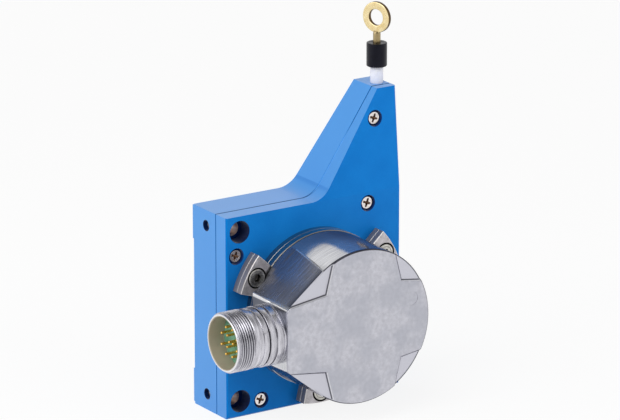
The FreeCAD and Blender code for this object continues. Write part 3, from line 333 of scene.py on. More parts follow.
def anodised_blue():
    """Bead-blasted aluminium, dyed blue and anodised: the oxide scatters white where it is seen at a slant.

    The sides are painted a paler blue than the front, a painted sheen, and the bend at the foot of the
    neck's slope is painted darker, a painted shade. The joint of the two shells is a dark line, drawn wider
    on the top where it is seen at a slant; low on the slope painted light covers the shade of its groove.
    Bores and pockets are painted nearly black, a painted shade. The fixing holes and the thread inside the
    side holes are bare metal.
    """
    made, tree, shader, place = surface_finish(
        "anodised_blue", "0070C0", "0678C8", 9.0, 0.35, 0.012, (0.34, 0.44), 0.0,
        IOR=1.7, Specular_Tint=linear("1C7CE8"), Sheen_Weight=0.35, Sheen_Roughness=0.4)
    x, y, z = split(tree, place)
    _, forward, upward = split(tree, add(tree, "ShaderNodeTexCoord").outputs["Normal"])
    forward = add(tree, "ShaderNodeMath", {0: forward}, operation="ABSOLUTE").outputs[0]
    # Painted sheen: faces turned away from the front get a paler blue than the front
    sides = ramp(tree, forward, 0.5, 0.3, unit=1.0)
    lay_over(tree, shader, sides, "4A91D6")
    # The slope's direction is 0.56 upwards, the top's is 1
    on_top = ramp(tree, upward, 0.6, 0.8, unit=1.0)
    off_sides = ramp(tree, upward, 0.2, 0.35, unit=1.0)
    low_slope = product(tree, off_sides, ramp(tree, z, FAINT_JOINT_Z + 6.0, FAINT_JOINT_Z))
    joint = band(tree, y, PARTING_Y - 0.2, PARTING_Y + 0.2, 0.08)
    lay_over(tree, shader, joint, "123E74", Roughness=0.9)
    # Painted light: a paler blue over the joint low on the slope covers the shade of its groove
    lay_over(tree, shader, product(tree, joint, low_slope), "6AAAEA")
    # Painted shade: a darker blue in the bend at the foot of the neck's slope
    bend = product(tree, ramp(tree, upward, 0.575, 0.62, unit=1.0),
                   ramp(tree, upward, 0.74, 0.64, unit=1.0, most=0.5))
    lay_over(tree, shader, bend, "1E70C0")
    top_joint = product(tree, band(tree, y, PARTING_Y - 0.5, PARTING_Y + 0.5, 0.2), on_top)
    lay_over(tree, shader, top_joint, "021A36", Roughness=0.9)
    seats = [(AXIS_X + across, AXIS_Z + up) for across, up, _ in SCREW_SEATS]
    pockets = near_axes(tree, place, seats, SCREW_POCKET_R)
    counterbores = near_axes(tree, place, FIXING_HOLES, COUNTERBORE_R)
    from_axes = [from_line(tree, y, z, (SIDE_HOLE_Y, up)) for _, up in FIXING_HOLES]
    side_holes = largest(tree, *[ramp(tree, distance, SIDE_HOLE_R + 0.15, SIDE_HOLE_R + 0.05)
                                 for distance in from_axes])
    side_holes = product(tree, side_holes, ramp(tree, x, SIDE_HOLE_PAST_X + 1.0, SIDE_HOLE_PAST_X))
    # Painted shade: bores, side holes and screw pockets are painted nearly black
    lay_over(tree, shader, largest(tree, counterbores, side_holes), "001A48", Roughness=0.25)
    lay_over(tree, shader, pockets, "003070", Roughness=0.25)
    side_threads = product(tree, side_holes, ramp(tree, x, SIDE_THREAD_X, SIDE_THREAD_X + 0.4))
    lay_over(tree, shader, side_threads, "F4F4F6", Roughness=0.2, Metallic=1.0)
    holes = near_axes(tree, place, FIXING_HOLES, FIXING_HOLE_R)
    lay_over(tree, shader, holes, "DCCCBC", Roughness=0.3, Metallic=1.0)
    return made


def cast_cap():
    """Die-cast aluminium, bare: the face tumbled to a cloudy grey, the sides brushed round and glossier.

    The flats beside the connector's block are left as cast: the upper one is duller and scratched, the lower
    one smooth, and both have painted shade at the front. The block's face round the connector is dull, with
    painted shade that grows towards its top, and the side near the plates has painted shade. The creases and
    the block's two long edges have a painted highlight, and the face's rim has painted shade.
    """
    made, tree, shader, place = surface_finish(
        "die_cast_cap", "BABAC2", "CECED6", 1.6, 0.5, 0.02, (0.34, 0.5), 0.9, Specular_Tint=linear("9090A0"))
    cloud = add(tree, "ShaderNodeTexNoise", {
        "Vector": place, "Scale": PER_METRE / 9.0, "Detail": 3.0}).outputs[0]
    lay_over(tree, shader, ramp(tree, cloud, 0.42, 0.62, unit=1.0, most=0.6), "AEB0BA")
    x, y, z = split(tree, place)
    side = ramp(tree, y, FACET_FLOOR_Y + 0.05, FACET_FLOOR_Y + 0.25)
    # Brush lines are 0.5 mm apart and run twenty times as far round the cap
    drawn = add(tree, "ShaderNodeMapping", {"Vector": place, "Scale": (0.05, 1.0, 0.05)}).outputs[0]
    streaks = add(tree, "ShaderNodeTexNoise", {
        "Vector": drawn, "Scale": PER_METRE / 0.5, "Detail": 4.0}).outputs[0]
    gloss = add(tree, "ShaderNodeMapRange", {
        "Value": streaks, "From Min": GRAIN_RANGE[0], "From Max": GRAIN_RANGE[1],
        "To Min": 0.07, "To Max": 0.15}).outputs[0]
    tone = add(tree, "ShaderNodeMix", {
        0: streaks, 6: linear("ACAEB4"), 7: linear("F6F6F6")}, data_type="RGBA")
    under = shader.inputs["Base Color"].links[0].from_socket
    mixed = add(tree, "ShaderNodeMix", {0: side, 6: under, 7: tone.outputs[2]}, data_type="RGBA")
    tree.links.new(mixed.outputs[2], shader.inputs["Base Color"])
    lay_over(tree, shader, side, Roughness=gloss)
    # The four facets of the face: painted shade at their walls' foot, a painted highlight at their top, and
    # their floors
    from_axis = from_line(tree, x, z, (AXIS_X, AXIS_Z))
    on_face = largest(tree, ramp(tree, from_axis, CAP_R - 0.5, CAP_R - 0.7),
                      ramp(tree, x, BLOCK_END_X, BLOCK_END_X - 0.1))
    inside = product(tree, on_face, ramp(tree, x, CONNECTOR_X + 0.6, CONNECTOR_X + 0.8))
    wall_foot = product(tree, inside, band(tree, y, CAP_FRONT_Y + 0.45, FACET_FLOOR_Y - 0.01, 0.1))
    wall_top = product(tree, inside, band(tree, y, CAP_FRONT_Y + 0.11, CAP_FRONT_Y + 0.4, 0.1))
    floors = product(tree, inside, ramp(tree, y, FACET_FLOOR_Y - 0.03, FACET_FLOOR_Y),
                     ramp(tree, y, FACET_FLOOR_Y + 0.05, FACET_FLOOR_Y + 0.02))
    lay_over(tree, shader, wall_foot, "5A5A62")
    lay_over(tree, shader, wall_top, "E2E2E6")
    lay_over(tree, shader, floors, "CBCBD4")
    # The creases lean: their x and height change evenly from the cap's front to its back
    height = add(tree, "ShaderNodeMath", {0: z, 1: -AXIS_Z * MM}, operation="ADD").outputs[0]
    height = add(tree, "ShaderNodeMath", {0: height}, operation="ABSOLUTE").outputs[0]
    off = []
    for value, front, back in zip((x, height), CREASE_FRONT, CREASE_BACK):
        crease_line = add(tree, "ShaderNodeMapRange", {
            "Value": y, "From Min": CAP_FRONT_Y * MM, "From Max": CAP_BACK_Y * MM,
            "To Min": front * MM, "To Max": back * MM}).outputs[0]
        off.append(add(tree, "ShaderNodeMath", {0: value, 1: crease_line}, operation="SUBTRACT").outputs[0])
    off_x, off_z = off
    from_crease = from_line(tree, off_x, off_z, (0.0, 0.0))
    flats = product(tree, side, ramp(tree, off_x, 0.0, -0.15),
                    ramp(tree, height, BLOCK_HALF + 0.4, BLOCK_HALF + 1.0))
    lay_over(tree, shader, flats, "B4B6C0", Roughness=0.26)
    scratches = ramp(tree, streaks, 0.4, 0.62, unit=1.0)
    lay_over(tree, shader, product(tree, flats, scratches), "9496A0", Roughness=0.34)
    # Painted shade along the front end of the flats
    front_end = ramp(tree, y, CAP_FRONT_Y + 3.5, CAP_FRONT_Y + 1.0)
    lay_over(tree, shader, product(tree, flats, front_end), "62646E")
    lower_flat = product(tree, flats, ramp(tree, z, -11.0, -13.0))
    lay_over(tree, shader, lower_flat, "B4B6C0", Roughness=0.1)
    # Painted shade on the block's face, darker towards its top; the face is also rougher
    block_face = product(tree, side, ramp(tree, x, CONNECTOR_X + 0.6, CONNECTOR_X + 0.4),
                         ramp(tree, z, -9.0, 2.0))
    lay_over(tree, shader, block_face, "7C7E86", Roughness=0.3)
    # Painted shade on the side near the plates
    by_plates = product(tree, side, ramp(tree, y, CAP_BACK_Y - 13.0, CAP_BACK_Y - 2.0, most=0.5))
    lay_over(tree, shader, by_plates, "6A6C74")
    # Painted highlight along the creases and the block's two long edges
    crease = product(tree, ramp(tree, from_crease, 0.3, 0.1),
                     ramp(tree, y, CAP_BACK_Y - 0.1, CAP_BACK_Y - 0.3))
    from_edge = from_line(tree, x, height, (CONNECTOR_X, BLOCK_HALF))
    block_edge = product(tree, side, ramp(tree, from_edge, 0.9, 0.6))
    lay_over(tree, shader, largest(tree, crease, block_edge), "E8E8EA", Roughness=0.25)
    # Painted shade along the face's rim
    rim = product(tree, ramp(tree, from_axis, CAP_R - 0.4, CAP_R - 0.3),
                  ramp(tree, y, CAP_FRONT_Y + 1.2, CAP_FRONT_Y + 1.1), ramp(tree, off_x, 0.0, 0.2))
    lay_over(tree, shader, rim, "4E4E56")
    return made


def cast_plate():
    """Die-cast aluminium flange plates: warm grey lugs with darker flanks and painted highlights along their
    edges.

    The ring between the lugs is turned; its upper plate's edge is duller and has painted shade, except low
    down. The gaps round the screws are painted near black, a painted shade.
    """
    made, tree, shader, place = surface_finish(
        "die_cast_plate", "A8A4A6", "D4D0D4", 2.5, 0.5, 0.015, (0.46, 0.6), 0.7)
    x, y, z = split(tree, place)
    from_axis = from_line(tree, x, z, (AXIS_X, AXIS_Z))
    on_lugs = ramp(tree, from_axis, PLATE_RING_R - 0.3, PLATE_RING_R + 0.3)
    on_ring = ramp(tree, from_axis, PLATE_RING_R + 0.3, PLATE_RING_R - 0.3)
    lay_over(tree, shader, on_ring, "A4A29E", Roughness=0.24, Metallic=1.0)
    flanks = product(tree, on_lugs, ramp(tree, y, UPPER_FRONT_Y + 0.2, UPPER_FRONT_Y + 0.3))
    lay_over(tree, shader, flanks, "8A878C", Roughness=0.5)
    # Painted highlight along the lugs' front edges
    lower_edge = product(tree, on_lugs, band(tree, y, LOWER_FRONT_Y + 0.02, LOWER_FRONT_Y + 0.24, 0.03))
    upper_edge = band(tree, y, UPPER_FRONT_Y + 0.02, UPPER_FRONT_Y + 0.24, 0.03)
    lug_edges = product(tree, on_lugs, largest(tree, lower_edge, upper_edge))
    lay_over(tree, shader, lug_edges, "E4E0DC", Roughness=0.4)
    # Painted shade on the ring's upper plate edge above its lower part, which is also rougher
    ring_edge = product(tree, upper_edge, on_ring, ramp(tree, z, -12.0, -8.0))
    lay_over(tree, shader, ring_edge, "8C8884", Roughness=0.5)
    bores = near_axes(tree, place, [lug_place(angle) for angle in LUG_ANGLES], LUG_BORE_R + 0.15)
    # Painted shade: the bores' walls round the screws are painted near black
    gap = product(tree, bores, ramp(tree, y, UPPER_FRONT_Y, UPPER_FRONT_Y + 0.2))
    lay_over(tree, shader, gap, "0C0C0E", Roughness=0.7, Metallic=0.2)
    return made


def shade_by_mark(tree, shader, colour, rough):
    """Painted shade, by the piece's own mark: darker colour where it lies in shade, as in a screw's recess or
    a thread.
    """
    mark = add(tree, "ShaderNodeAttribute", attribute_name="mark").outputs["Fac"]
    lay_over(tree, shader, mark, colour, Roughness=rough)


def nickel_steel():
    """Nickel-plated steel screws: bright and smooth with a faint warm tone, with painted shade in the cross.
    """
    made, tree, shader, _ = surface_finish(
        "nickel_plated_steel", "C8BEBA", "FFFAF8", 0.9, 0.2, 0.006, (0.16, 0.26), 1.0)
    shade_by_mark(tree, shader, "8A6A56", 0.35)
    return made


def stainless_screw():
    """Stainless steel socket screws: turned on top, with painted shade in the socket, the groove and down the
    head's side.
    """
    made, tree, shader, _ = surface_finish(
        "stainless_screw", "A8A6A0", "D8D6D0", 1.5, 0.25, 0.006, (0.24, 0.36), 1.0)
    shade_by_mark(tree, shader, "100F0E", 0.7)
    return made


def nickel_brass():
    """Turned brass, nickel plated: grey with fine turning marks round the connector's axis.

    Inside the mouth the bore is matt and beige, where the plating is thin. The thread's roots have painted
    shade.
    """
    made, tree, shader, place = surface_finish(
        "nickel_plated_brass", "A6A5AC", "DEDDE4", 1.6, 0.3, 0.008, (0.2, 0.32), 1.0,
        stretch=(1.0, 0.12, 0.12))
    x, y, z = split(tree, place)
    shade_by_mark(tree, shader, "50505A", 0.4)
    out_of_axis = from_line(tree, y, z, (CONNECTOR_Y, AXIS_Z))
    socket_x = CONNECTOR_X - SOCKET_BACK
    mouth_x = CONNECTOR_X - MOUTH
    bore = product(tree, ramp(tree, out_of_axis, SOCKET_R + 0.4, SOCKET_R + 0.3),
                   ramp(tree, x, socket_x + 0.7, socket_x + 0.5))
    lay_over(tree, shader, bore, "B8AE9C", Roughness=0.55, Metallic=0.5)
    # Painted highlight: the mouth's rim is painted brighter, and is glossier
    rim = product(tree, ramp(tree, x, mouth_x + 0.3, mouth_x + 0.1),
                  ramp(tree, out_of_axis, SOCKET_R + 0.3, SOCKET_R + 0.4))
    lay_over(tree, shader, rim, "ECECF0", Roughness=0.25)
    return made


def green_plastic():
    """Moulded green insulating plastic of the contact insert."""
    return surface_finish("moulded_green_plastic", "568F74", "7DB295", 2.5, 0.3, 0.01, (0.4, 0.55), 0.0)[0]


def gold_pin():
    """Gold-plated contact pins, turned and polished."""
    return surface_finish("gold_plated_pin", "DCA63C", "F6D078", 0.8, 0.2, 0.003, (0.22, 0.34), 0.9)[0]


def white_plastic():
    """Natural white acetal of the nozzle: lets a little light in, soft gloss."""
    return surface_finish(
        "natural_acetal", "DADBE6", "E9EAF3", 3.0, 0.3, 0.006, (0.3, 0.42), 0.0,
        Subsurface_Weight=0.25, Subsurface_Radius=(0.6, 0.6, 0.7), Subsurface_Scale=MM)[0]


def black_sleeve():
    """Moulded black polyamide of the buffer sleeve: satin, faint mould grain."""
    return surface_finish("moulded_black_sleeve", "09090F", "111219", 3.0, 0.35, 0.01, (0.28, 0.4), 0.0,
                          Specular_Tint=linear("8C8C9C"))[0]


def brass_eye():
    """Brass of the ring and its stem: faces polished pale, with painted shade on the ring's rim and on the
    stem.
    """
    made, tree, shader, _ = surface_finish(
        "polished_brass", "DCC48C", "F2E2B6", 2.0, 0.3, 0.005, (0.18, 0.3), 1.0)
    shade_by_mark(tree, shader, "5C4626", 0.4)
    return made


def steel_wire():
    """Stainless steel rope wire, seven strands, bright on its crowns."""
    return surface_finish("stainless_rope", "8C8E94", "C4C6CC", 0.8, 0.2, 0.004, (0.25, 0.4), 1.0)[0]


def turned_steel():
    """Turned steel of the shafts and the spring's arbor."""
    return surface_finish("turned_steel", "8A8B90", "B6B7BC", 2.0, 0.3, 0.006, (0.25, 0.38), 1.0)[0]


def sheet_steel():
    """Zinc-plated sheet steel of the spring's cup and cover, with a bluish tone."""
    return surface_finish("zinc_plated_sheet", "8F98A6", "C0C8D2", 4.0, 0.4, 0.008, (0.28, 0.42), 0.95)[0]


def spring_steel():
    """Blued spring steel strip."""
    return surface_finish("blued_spring_steel", "3A404C", "5C6472", 3.0, 0.3, 0.004, (0.24, 0.36), 1.0)[0]


def bare_aluminium():
    """Turned aluminium of the drum and the code disc's hub."""
    return surface_finish("turned_aluminium", "B4B6BA", "DADBDE", 2.5, 0.3, 0.006, (0.26, 0.4), 1.0)[0]


def black_rubber():
    """Moulded nitrile rubber of the seals."""
    return surface_finish("nitrile_rubber", "121214", "1F1F22", 2.0, 0.3, 0.01, (0.5, 0.68), 0.0)[0]


def disc_glass():
    """Coated glass of the code disc, dark like its chrome pattern."""
    return surface_finish("coated_disc_glass", "30353A", "4A5158", 1.0, 0.3, 0.001, (0.05, 0.1), 0.4)[0]


def black_plastic():
    """Black glass-filled plastic of the lamp block and the scanning head."""
    return surface_finish("glass_filled_plastic", "17181A", "26272A", 1.5, 0.25, 0.01, (0.4, 0.55), 0.0)[0]


def board_green():
    """Glass-epoxy circuit board under a green solder mask."""
    return surface_finish("solder_mask", "1C4A32", "2B6343", 3.0, 0.4, 0.01, (0.28, 0.4), 0.0)[0]


def brass_plain():
    """Plain turned brass of the board's pillars."""
    return surface_finish("turned_brass", "B08D45", "D4B36A", 1.5, 0.3, 0.005, (0.25, 0.38), 1.0)[0]


def wool_felt():
    """Pressed wool felt of the wiper ring."""
    return surface_finish("pressed_felt", "A9A294", "CFC8B8", 1.2, 0.15, 0.05, (0.85, 0.95), 0.0)[0]


def bearing_steel():
    """Ground bearing steel, bright and even."""
    return surface_finish("ground_bearing_steel", "A2A4A8", "CFD1D4", 2.0, 0.2, 0.002, (0.14, 0.24), 1.0)[0]


SLOT_FINISHES = {
    "anodised_blue": anodised_blue(),
    "nickel_steel": nickel_steel(),
    "bare_aluminium": bare_aluminium(),
    "stainless_wire": steel_wire(),
    "turned_steel": turned_steel(),
    "sheet_steel": sheet_steel(),
    "spring_steel": spring_steel(),
    "die_cast": cast_plate(),
    "stainless_screw": stainless_screw(),
    "cast_cap": cast_cap(),
    "black_rubber": black_rubber(),
    "disc_glass": disc_glass(),
    "black_plastic": black_plastic(),
    "board_green": board_green(),
    "brass_plain": brass_plain(),
    "nickel_brass": nickel_brass(),
    "green_plastic": green_plastic(),
    "gold_pin": gold_pin(),
    "white_plastic": white_plastic(),
    "felt": wool_felt(),
    "black_sleeve": black_sleeve(),
    "brass_eye": brass_eye(),
    "bearing_steel": bearing_steel(),
}


def dress_cad_nodes():
    """Give each CAD node the finish of its own slot."""
    for subpart in nodes.values():
        for slot in subpart.material_slots:
            slot.material = SLOT_FINISHES[slot.material.name.split(".")[0]]


# Surfaces

def eased(corners, size, loop=True, steps=4):
    """Outline with its corners rounded: each corner is the middle point of a quadratic arc.

    The arc starts and ends a size away from the corner, or half an edge where that is shorter.
    """
    points = np.asarray(corners, float)
    size = np.broadcast_to(np.asarray(size, float), len(points))[:, None]
    before = np.roll(points, 1, 0) - points
    after = np.roll(points, -1, 0) - points
    length_before = np.maximum(np.linalg.norm(before, axis=1, keepdims=True), 1e-9)
    length_after = np.maximum(np.linalg.norm(after, axis=1, keepdims=True), 1e-9)
    start = points + before / length_before * np.minimum(size, length_before / 2.05)
    end = points + after / length_after * np.minimum(size, length_after / 2.05)
    t = np.linspace(0.0, 1.0, steps + 1)[None, :, None]
    arcs = (1 - t) ** 2 * start[:, None] + 2 * t * (1 - t) * points[:, None] + t ** 2 * end[:, None]
    if loop:
        return arcs.reshape(-1, 2)
    return np.vstack([points[:1], arcs[1:-1].reshape(-1, 2), points[-1:]])


def round_grid(radius, distance, centre, axis, zero, cols=96):
    """Grid turned about an axis: centre + axis times distance + radius in the turning direction.

    Radius and distance are one value for each row, or one for each row and column.
    """
    turn = np.linspace(0.0, 2 * np.pi, cols, endpoint=False)
    radius = np.asarray(radius, float)
    distance = np.asarray(distance, float)
    radius = radius[:, None] + np.zeros(cols) if radius.ndim == 1 else radius
    distance = distance[:, None] + np.zeros(cols) if distance.ndim == 1 else distance
    axis = np.asarray(axis, float)
    zero = np.asarray(zero, float)
    side = np.cross(axis, zero)
    way = np.cos(turn)[:, None] * zero + np.sin(turn)[:, None] * side
    return np.asarray(centre, float) + distance[..., None] * axis + radius[..., None] * way


def grid_faces(rows, cols, looped):
    """Quads between neighbouring rings of a grid; each ring closes on itself."""
    row, col = np.meshgrid(np.arange(rows if looped else rows - 1), np.arange(cols), indexing="ij")
    below = (row + 1) % rows
    beside = (col + 1) % cols
    corners = (row * cols + col, row * cols + beside, below * cols + beside, below * cols + col)
    return np.stack(corners, -1).reshape(-1, 4)


def closed_surface(grid, ends):
    """Points and faces of a grid. Its rows close in a loop, or its end rows each meet in one point.

    The faces point outwards: that is where the volume, summed over the triangles' corners, is positive.
    """
    rows, cols, values = grid.shape
    if ends == "loop":
        points = grid.reshape(-1, values)
        faces = grid_faces(rows, cols, True).tolist()
    else:
        inner = grid[1:-1].reshape(-1, values)
        count = len(inner)
        points = np.vstack([inner, grid[:1, 0], grid[-1:, 0]])
        faces = grid_faces(rows - 2, cols, False).tolist()
        ring = np.arange(cols)
        beside = (ring + 1) % cols
        last = count - cols
        faces += np.stack([np.full(cols, count), beside, ring], -1).tolist()
        faces += np.stack([np.full(cols, count + 1), last + ring, last + beside], -1).tolist()
    places = points[:, :3]
    first, second, third = (places[[face[k] for face in faces]] for k in range(3))
    volume = np.einsum("ij,ij->i", first, np.cross(second, third)).sum()
    quads = np.array([face for face in faces if len(face) == 4])
    first, third, fourth = (places[quads[:, k]] for k in (0, 2, 3))
    volume += np.einsum("ij,ij->i", first, np.cross(third, fourth)).sum()
    if volume < 0:
        faces = [face[::-1] for face in faces]
    return points, faces


def piece(name, surfaces, finish, body, replaced, crease=32.0):
    """One object from closed surfaces in millimetres, with its finish, body and the nodes it replaces."""
    points = []
    marks = []
    faces = []
    offset = 0
    for surface_points, surface_faces in surfaces:
        points.append(surface_points[:, :3])
        marks.append(surface_points[:, 3] if surface_points.shape[1] == 4 else np.zeros(len(surface_points)))
        faces += [[index + offset for index in face] for face in surface_faces]
        offset += len(surface_points)
    mesh = bpy.data.meshes.new(name)
    mesh.from_pydata((np.vstack(points) * MM).tolist(), [], faces)
    mesh.attributes.new("mark", "FLOAT", "POINT").data.foreach_set("value", np.concatenate(marks))
    mesh.shade_smooth()
    mesh.set_sharp_from_angle(angle=math.radians(crease))
    mesh.materials.append(SLOT_FINISHES[finish])
    made = bpy.data.objects.new(name, mesh)
    scene.collection.objects.link(made)
    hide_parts(*replaced)
    if body:
        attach(made, body)
    return made


OUT = (-1.0, 0.0, 0.0)        # the way the connector points
FRONT = (0.0, -1.0, 0.0)
UP = (0.0, 0.0, 1.0)
RIGHT = (1.0, 0.0, 0.0)


def smooth_step(value, low, high):
    """0 below low, 1 above high, an S-shaped cubic between."""
    t = np.clip((value - low) / (high - low), 0.0, 1.0)
    return t * t * (3 - 2 * t)


def marked(grid, mark):
    """Grid with a fourth value at each point: 1 where shade is painted in full."""
    return np.concatenate([grid, np.broadcast_to(mark, grid.shape[:2])[..., None]], -1)


def shell_screw(x, z, seat_y):
    """Pan-head screw: a turned profile whose domed top sinks into a cross.

    Depth of the cross = taper of the radius, where a point is within the half width of either arm.
    """
    cols = 128
    shank_r = 1.5
    turn = np.linspace(0.0, 2 * np.pi, cols, endpoint=False)
    top_r = np.linspace(0.0, SHELL_DOME_R, 34)
    flank = eased([(SHELL_DOME_R, 1.86), (SHELL_HEAD_R, 1.4), (SHELL_HEAD_R, 0.0), (shank_r, 0.0),
                   (shank_r, SHELL_SCREW_END)], (0, 0.45, 0.1, 0, 0), loop=False)
    radius = np.concatenate([top_r, flank[:, 0], [0.0]])
    height = np.concatenate([1.9 - 0.008 * top_r ** 2, flank[:, 1], [SHELL_SCREW_END]])
    height = height[:, None] + np.zeros(cols)
    across = top_r[:, None] * np.cos(turn + CROSS_TURN)
    along = top_r[:, None] * np.sin(turn + CROSS_TURN)
    nearest = np.minimum(np.abs(across), np.abs(along))
    inside = 1.0 - smooth_step(nearest, CROSS_HALF, CROSS_HALF + 0.12)
    core = 1.0 - smooth_step(top_r[:, None], 0.55, 0.85)
    taper = np.clip(1.6 - 0.7 * top_r[:, None], 0.0, 1.5) * (1.0 - smooth_step(top_r[:, None], 1.6, 1.8))
    sunk = np.maximum(inside, core) * taper
    height[:len(top_r)] -= sunk
    # The mark paints shade into the cross
    mark = np.zeros(height.shape)
    mark[:len(top_r)] = smooth_step(sunk, 0.1, 0.5)
    grid = round_grid(radius, height, (x, seat_y, z), FRONT, RIGHT, cols)
    return closed_surface(marked(grid, mark), "poles")


def shell_screws():
    """The five screws that hold the two shells together."""
    parts = [shell_screw(AXIS_X + dx, AXIS_Z + dz, seat) for dx, dz, seat in SCREW_SEATS]
    return piece("cross_recess_screws", parts, "nickel_steel", "housing", ["shell_screws"])


def lug_screw(angle):
    """Low-head socket screw: rows blend from the hexagon of the socket to the round head.

    Radius of a hexagon row = half its width over the cosine of the angle to its nearest side. Two sunk rows
    make the fine turned groove round the socket.
    """
    cols = 96
    turn = np.linspace(0.0, 2 * np.pi, cols, endpoint=False)
    to_side = np.mod(turn, np.pi / 3) - np.pi / 6
    hexagon = HEXAGON_HALF / np.cos(to_side)
    flat = np.ones(cols)
    top = LUG_HEAD_TOP
    # Radius, height over the seat and painted shade (mark) of each row, from the socket's floor outwards and
    # down
    rows = [(0.0 * flat, HEXAGON_FLOOR, 0.0), (0.5 * flat, HEXAGON_FLOOR, 0.0),
            (hexagon * 0.94, HEXAGON_FLOOR, 0.2), (hexagon, HEXAGON_FLOOR + 0.1, 1.0),
            (hexagon, top - 0.18, 0.8), (hexagon * 1.04, top - 0.04, 0.0), (hexagon * 1.12, top, 0.0),
            (1.9 * flat, top, 0.0), (2.4 * flat, top, 0.0), (2.48 * flat, top - 0.06, 0.5),
            (2.62 * flat, top - 0.06, 0.5), (2.7 * flat, top, 0.0), (3.1 * flat, top, 0.0),
            (3.28 * flat, top - 0.05, 0.0), (3.42 * flat, top - 0.16, 0.4),
            (LUG_HEAD_R * flat, top - 0.34, 1.0), (LUG_HEAD_R * flat, 0.0, 1.0),
            (LUG_SHANK_R * flat, 0.0, 0.0), (LUG_SHANK_R * flat, LUG_SCREW_END, 0.0),
            (0.0 * flat, LUG_SCREW_END, 0.0)]
    radius = np.stack([row[0] for row in rows])
    height = np.array([row[1] for row in rows])
    mark = np.array([row[2] for row in rows])[:, None]
    x, z = lug_place(angle)
    grid = round_grid(radius, height, (x, UPPER_FRONT_Y + LUG_BORE_DEPTH, z), FRONT, RIGHT, cols)
    return closed_surface(marked(grid, mark), "poles")


def lug_screws():
    """The three screws through the encoder's lugs."""
    parts = [lug_screw(angle) for angle in LUG_ANGLES]
    return piece("socket_head_screws", parts, "stainless_screw", "housing", ["flange_screws"])


def connector_barrel():
    """Threaded barrel: a turned profile with a right-hand thread and an index notch.

    Groove depth = raised cosine of the distance less the turn's share of the pitch, faded at both ends.
    """
    cols = 160
    turn = np.linspace(0.0, 2 * np.pi, cols, endpoint=False)
    foot = eased([(BARREL_INNER_R, BARREL_FOOT), (10.6, BARREL_FOOT), (10.6, 7.3), (BAND_R, 7.3),
                  (BAND_R, 9.5), (THREAD_NECK_R, 9.5), (THREAD_NECK_R, 11.1), (THREAD_R, 11.1)],
                 (0, 0, 0.05, 0.25, 0.25, 0.1, 0.1, 0), loop=False)
    start = eased([(THREAD_NECK_R, 11.1), (THREAD_R, 11.1), (THREAD_R, 12.9)], (0, 0.2, 0), loop=False)[1:]
    thread = np.linspace(13.0, 19.75, 109)
    mouth = eased([(THREAD_R, 19.8), (THREAD_R, 19.9), (10.95, 19.9), (10.95, MOUTH), (SOCKET_R, MOUTH),
                   (SOCKET_R, SOCKET_BACK), (BARREL_INNER_R, SOCKET_BACK)],
                  (0, 0.1, 0.1, 0.3, 0.3, 0.1, 0), loop=False)
    profile = np.vstack([foot[:-1], start, np.stack([THREAD_R + 0 * thread, thread], -1), mouth])
    profile_r = profile[:, :1]
    distance = profile[:, 1:]
    on_thread = (profile_r > THREAD_R - 0.1) & (distance > 12.95) & (distance < 19.79)
    turns = (distance - 14.0) / THREAD_PITCH - turn / (2 * np.pi)
    wave = 0.5 - 0.5 * np.cos(2 * np.pi * turns)
    fade = smooth_step(distance, 13.45, 13.7) * (1.0 - smooth_step(distance, 19.55, 19.78))
    runout = 0.2 * (1.0 - smooth_step(np.abs(distance - 13.35), 0.1, 0.3))
    groove = on_thread * np.maximum(THREAD_DEPTH * wave ** 0.7 * fade, runout)
    notch = (1.0 - smooth_step(np.abs(turn - 0.45), 0.035, 0.06)) * smooth_step(distance, 7.5, 7.7)
    on_band = (profile_r > BAND_R - 0.05) & (distance > 7.25) & (distance < 9.6)
    radius = profile_r - (groove + on_band * 0.4 * notch)
    in_gap = (distance > BARREL_FOOT - 0.05) & (distance < 7.28) & (profile_r < BAND_R - 0.1)
    # Painted shade in the thread's roots and in the gap below the band
    mark = np.maximum(smooth_step(groove, 0.22, 0.44), in_gap)
    grid = round_grid(radius, distance[:, 0], (CONNECTOR_X, CONNECTOR_Y, AXIS_Z), OUT, FRONT, cols)
    surface = closed_surface(marked(grid, mark), "loop")
    return piece("threaded_barrel", [surface], "nickel_brass", "housing", ["connector_shell"])


def connector_collar():
    """Collar of the connector: turned profile, with two spanner flats.

    On a flat the radius is held to the flat's distance over the cosine of the angle to its middle.
    """
    cols = 144
    turn = np.linspace(0.0, 2 * np.pi, cols, endpoint=False)
    profile = eased([(BARREL_INNER_R, -3.0), (10.0, -3.0), (10.0, 0.0), (COLLAR_R, 0.0), (COLLAR_R, 1.0),
                     (11.25, 1.0), (11.25, 1.4), (COLLAR_R, 1.4), (COLLAR_R, 1.6), (COLLAR_R, 3.6),
                     (COLLAR_R, 3.8), (11.0, 3.8), (11.0, 4.6), (COLLAR_R, 4.6), (COLLAR_R, BARREL_FOOT),
                     (BARREL_INNER_R, BARREL_FOOT)],
                    (0, 0, 0, 0.15, 0.12, 0.05, 0.05, 0.1, 0, 0, 0.1, 0.1, 0.1, 0.2, 0.25, 0))
    profile_r = profile[:, :1]
    distance = profile[:, 1:]
    flat_r = COLLAR_FLAT_R / np.maximum(np.abs(np.cos(turn)), 0.5)
    on_flat = (distance > 1.39) & (distance < 3.81) & (profile_r > 11.2)
    radius = np.where(on_flat, np.minimum(profile_r, flat_r), profile_r)
    # Painted shade in the collar's groove
    mark = 0.4 * smooth_step(COLLAR_R - profile_r, 0.1, 0.3) * (distance > 3.7) * (distance < 4.7)
    grid = round_grid(radius, distance[:, 0], (CONNECTOR_X, CONNECTOR_Y, AXIS_Z), OUT, FRONT, cols)
    surface = closed_surface(marked(grid, mark), "loop")
    return piece("spanner_collar", [surface], "nickel_brass", "housing", ["connector_collar"])


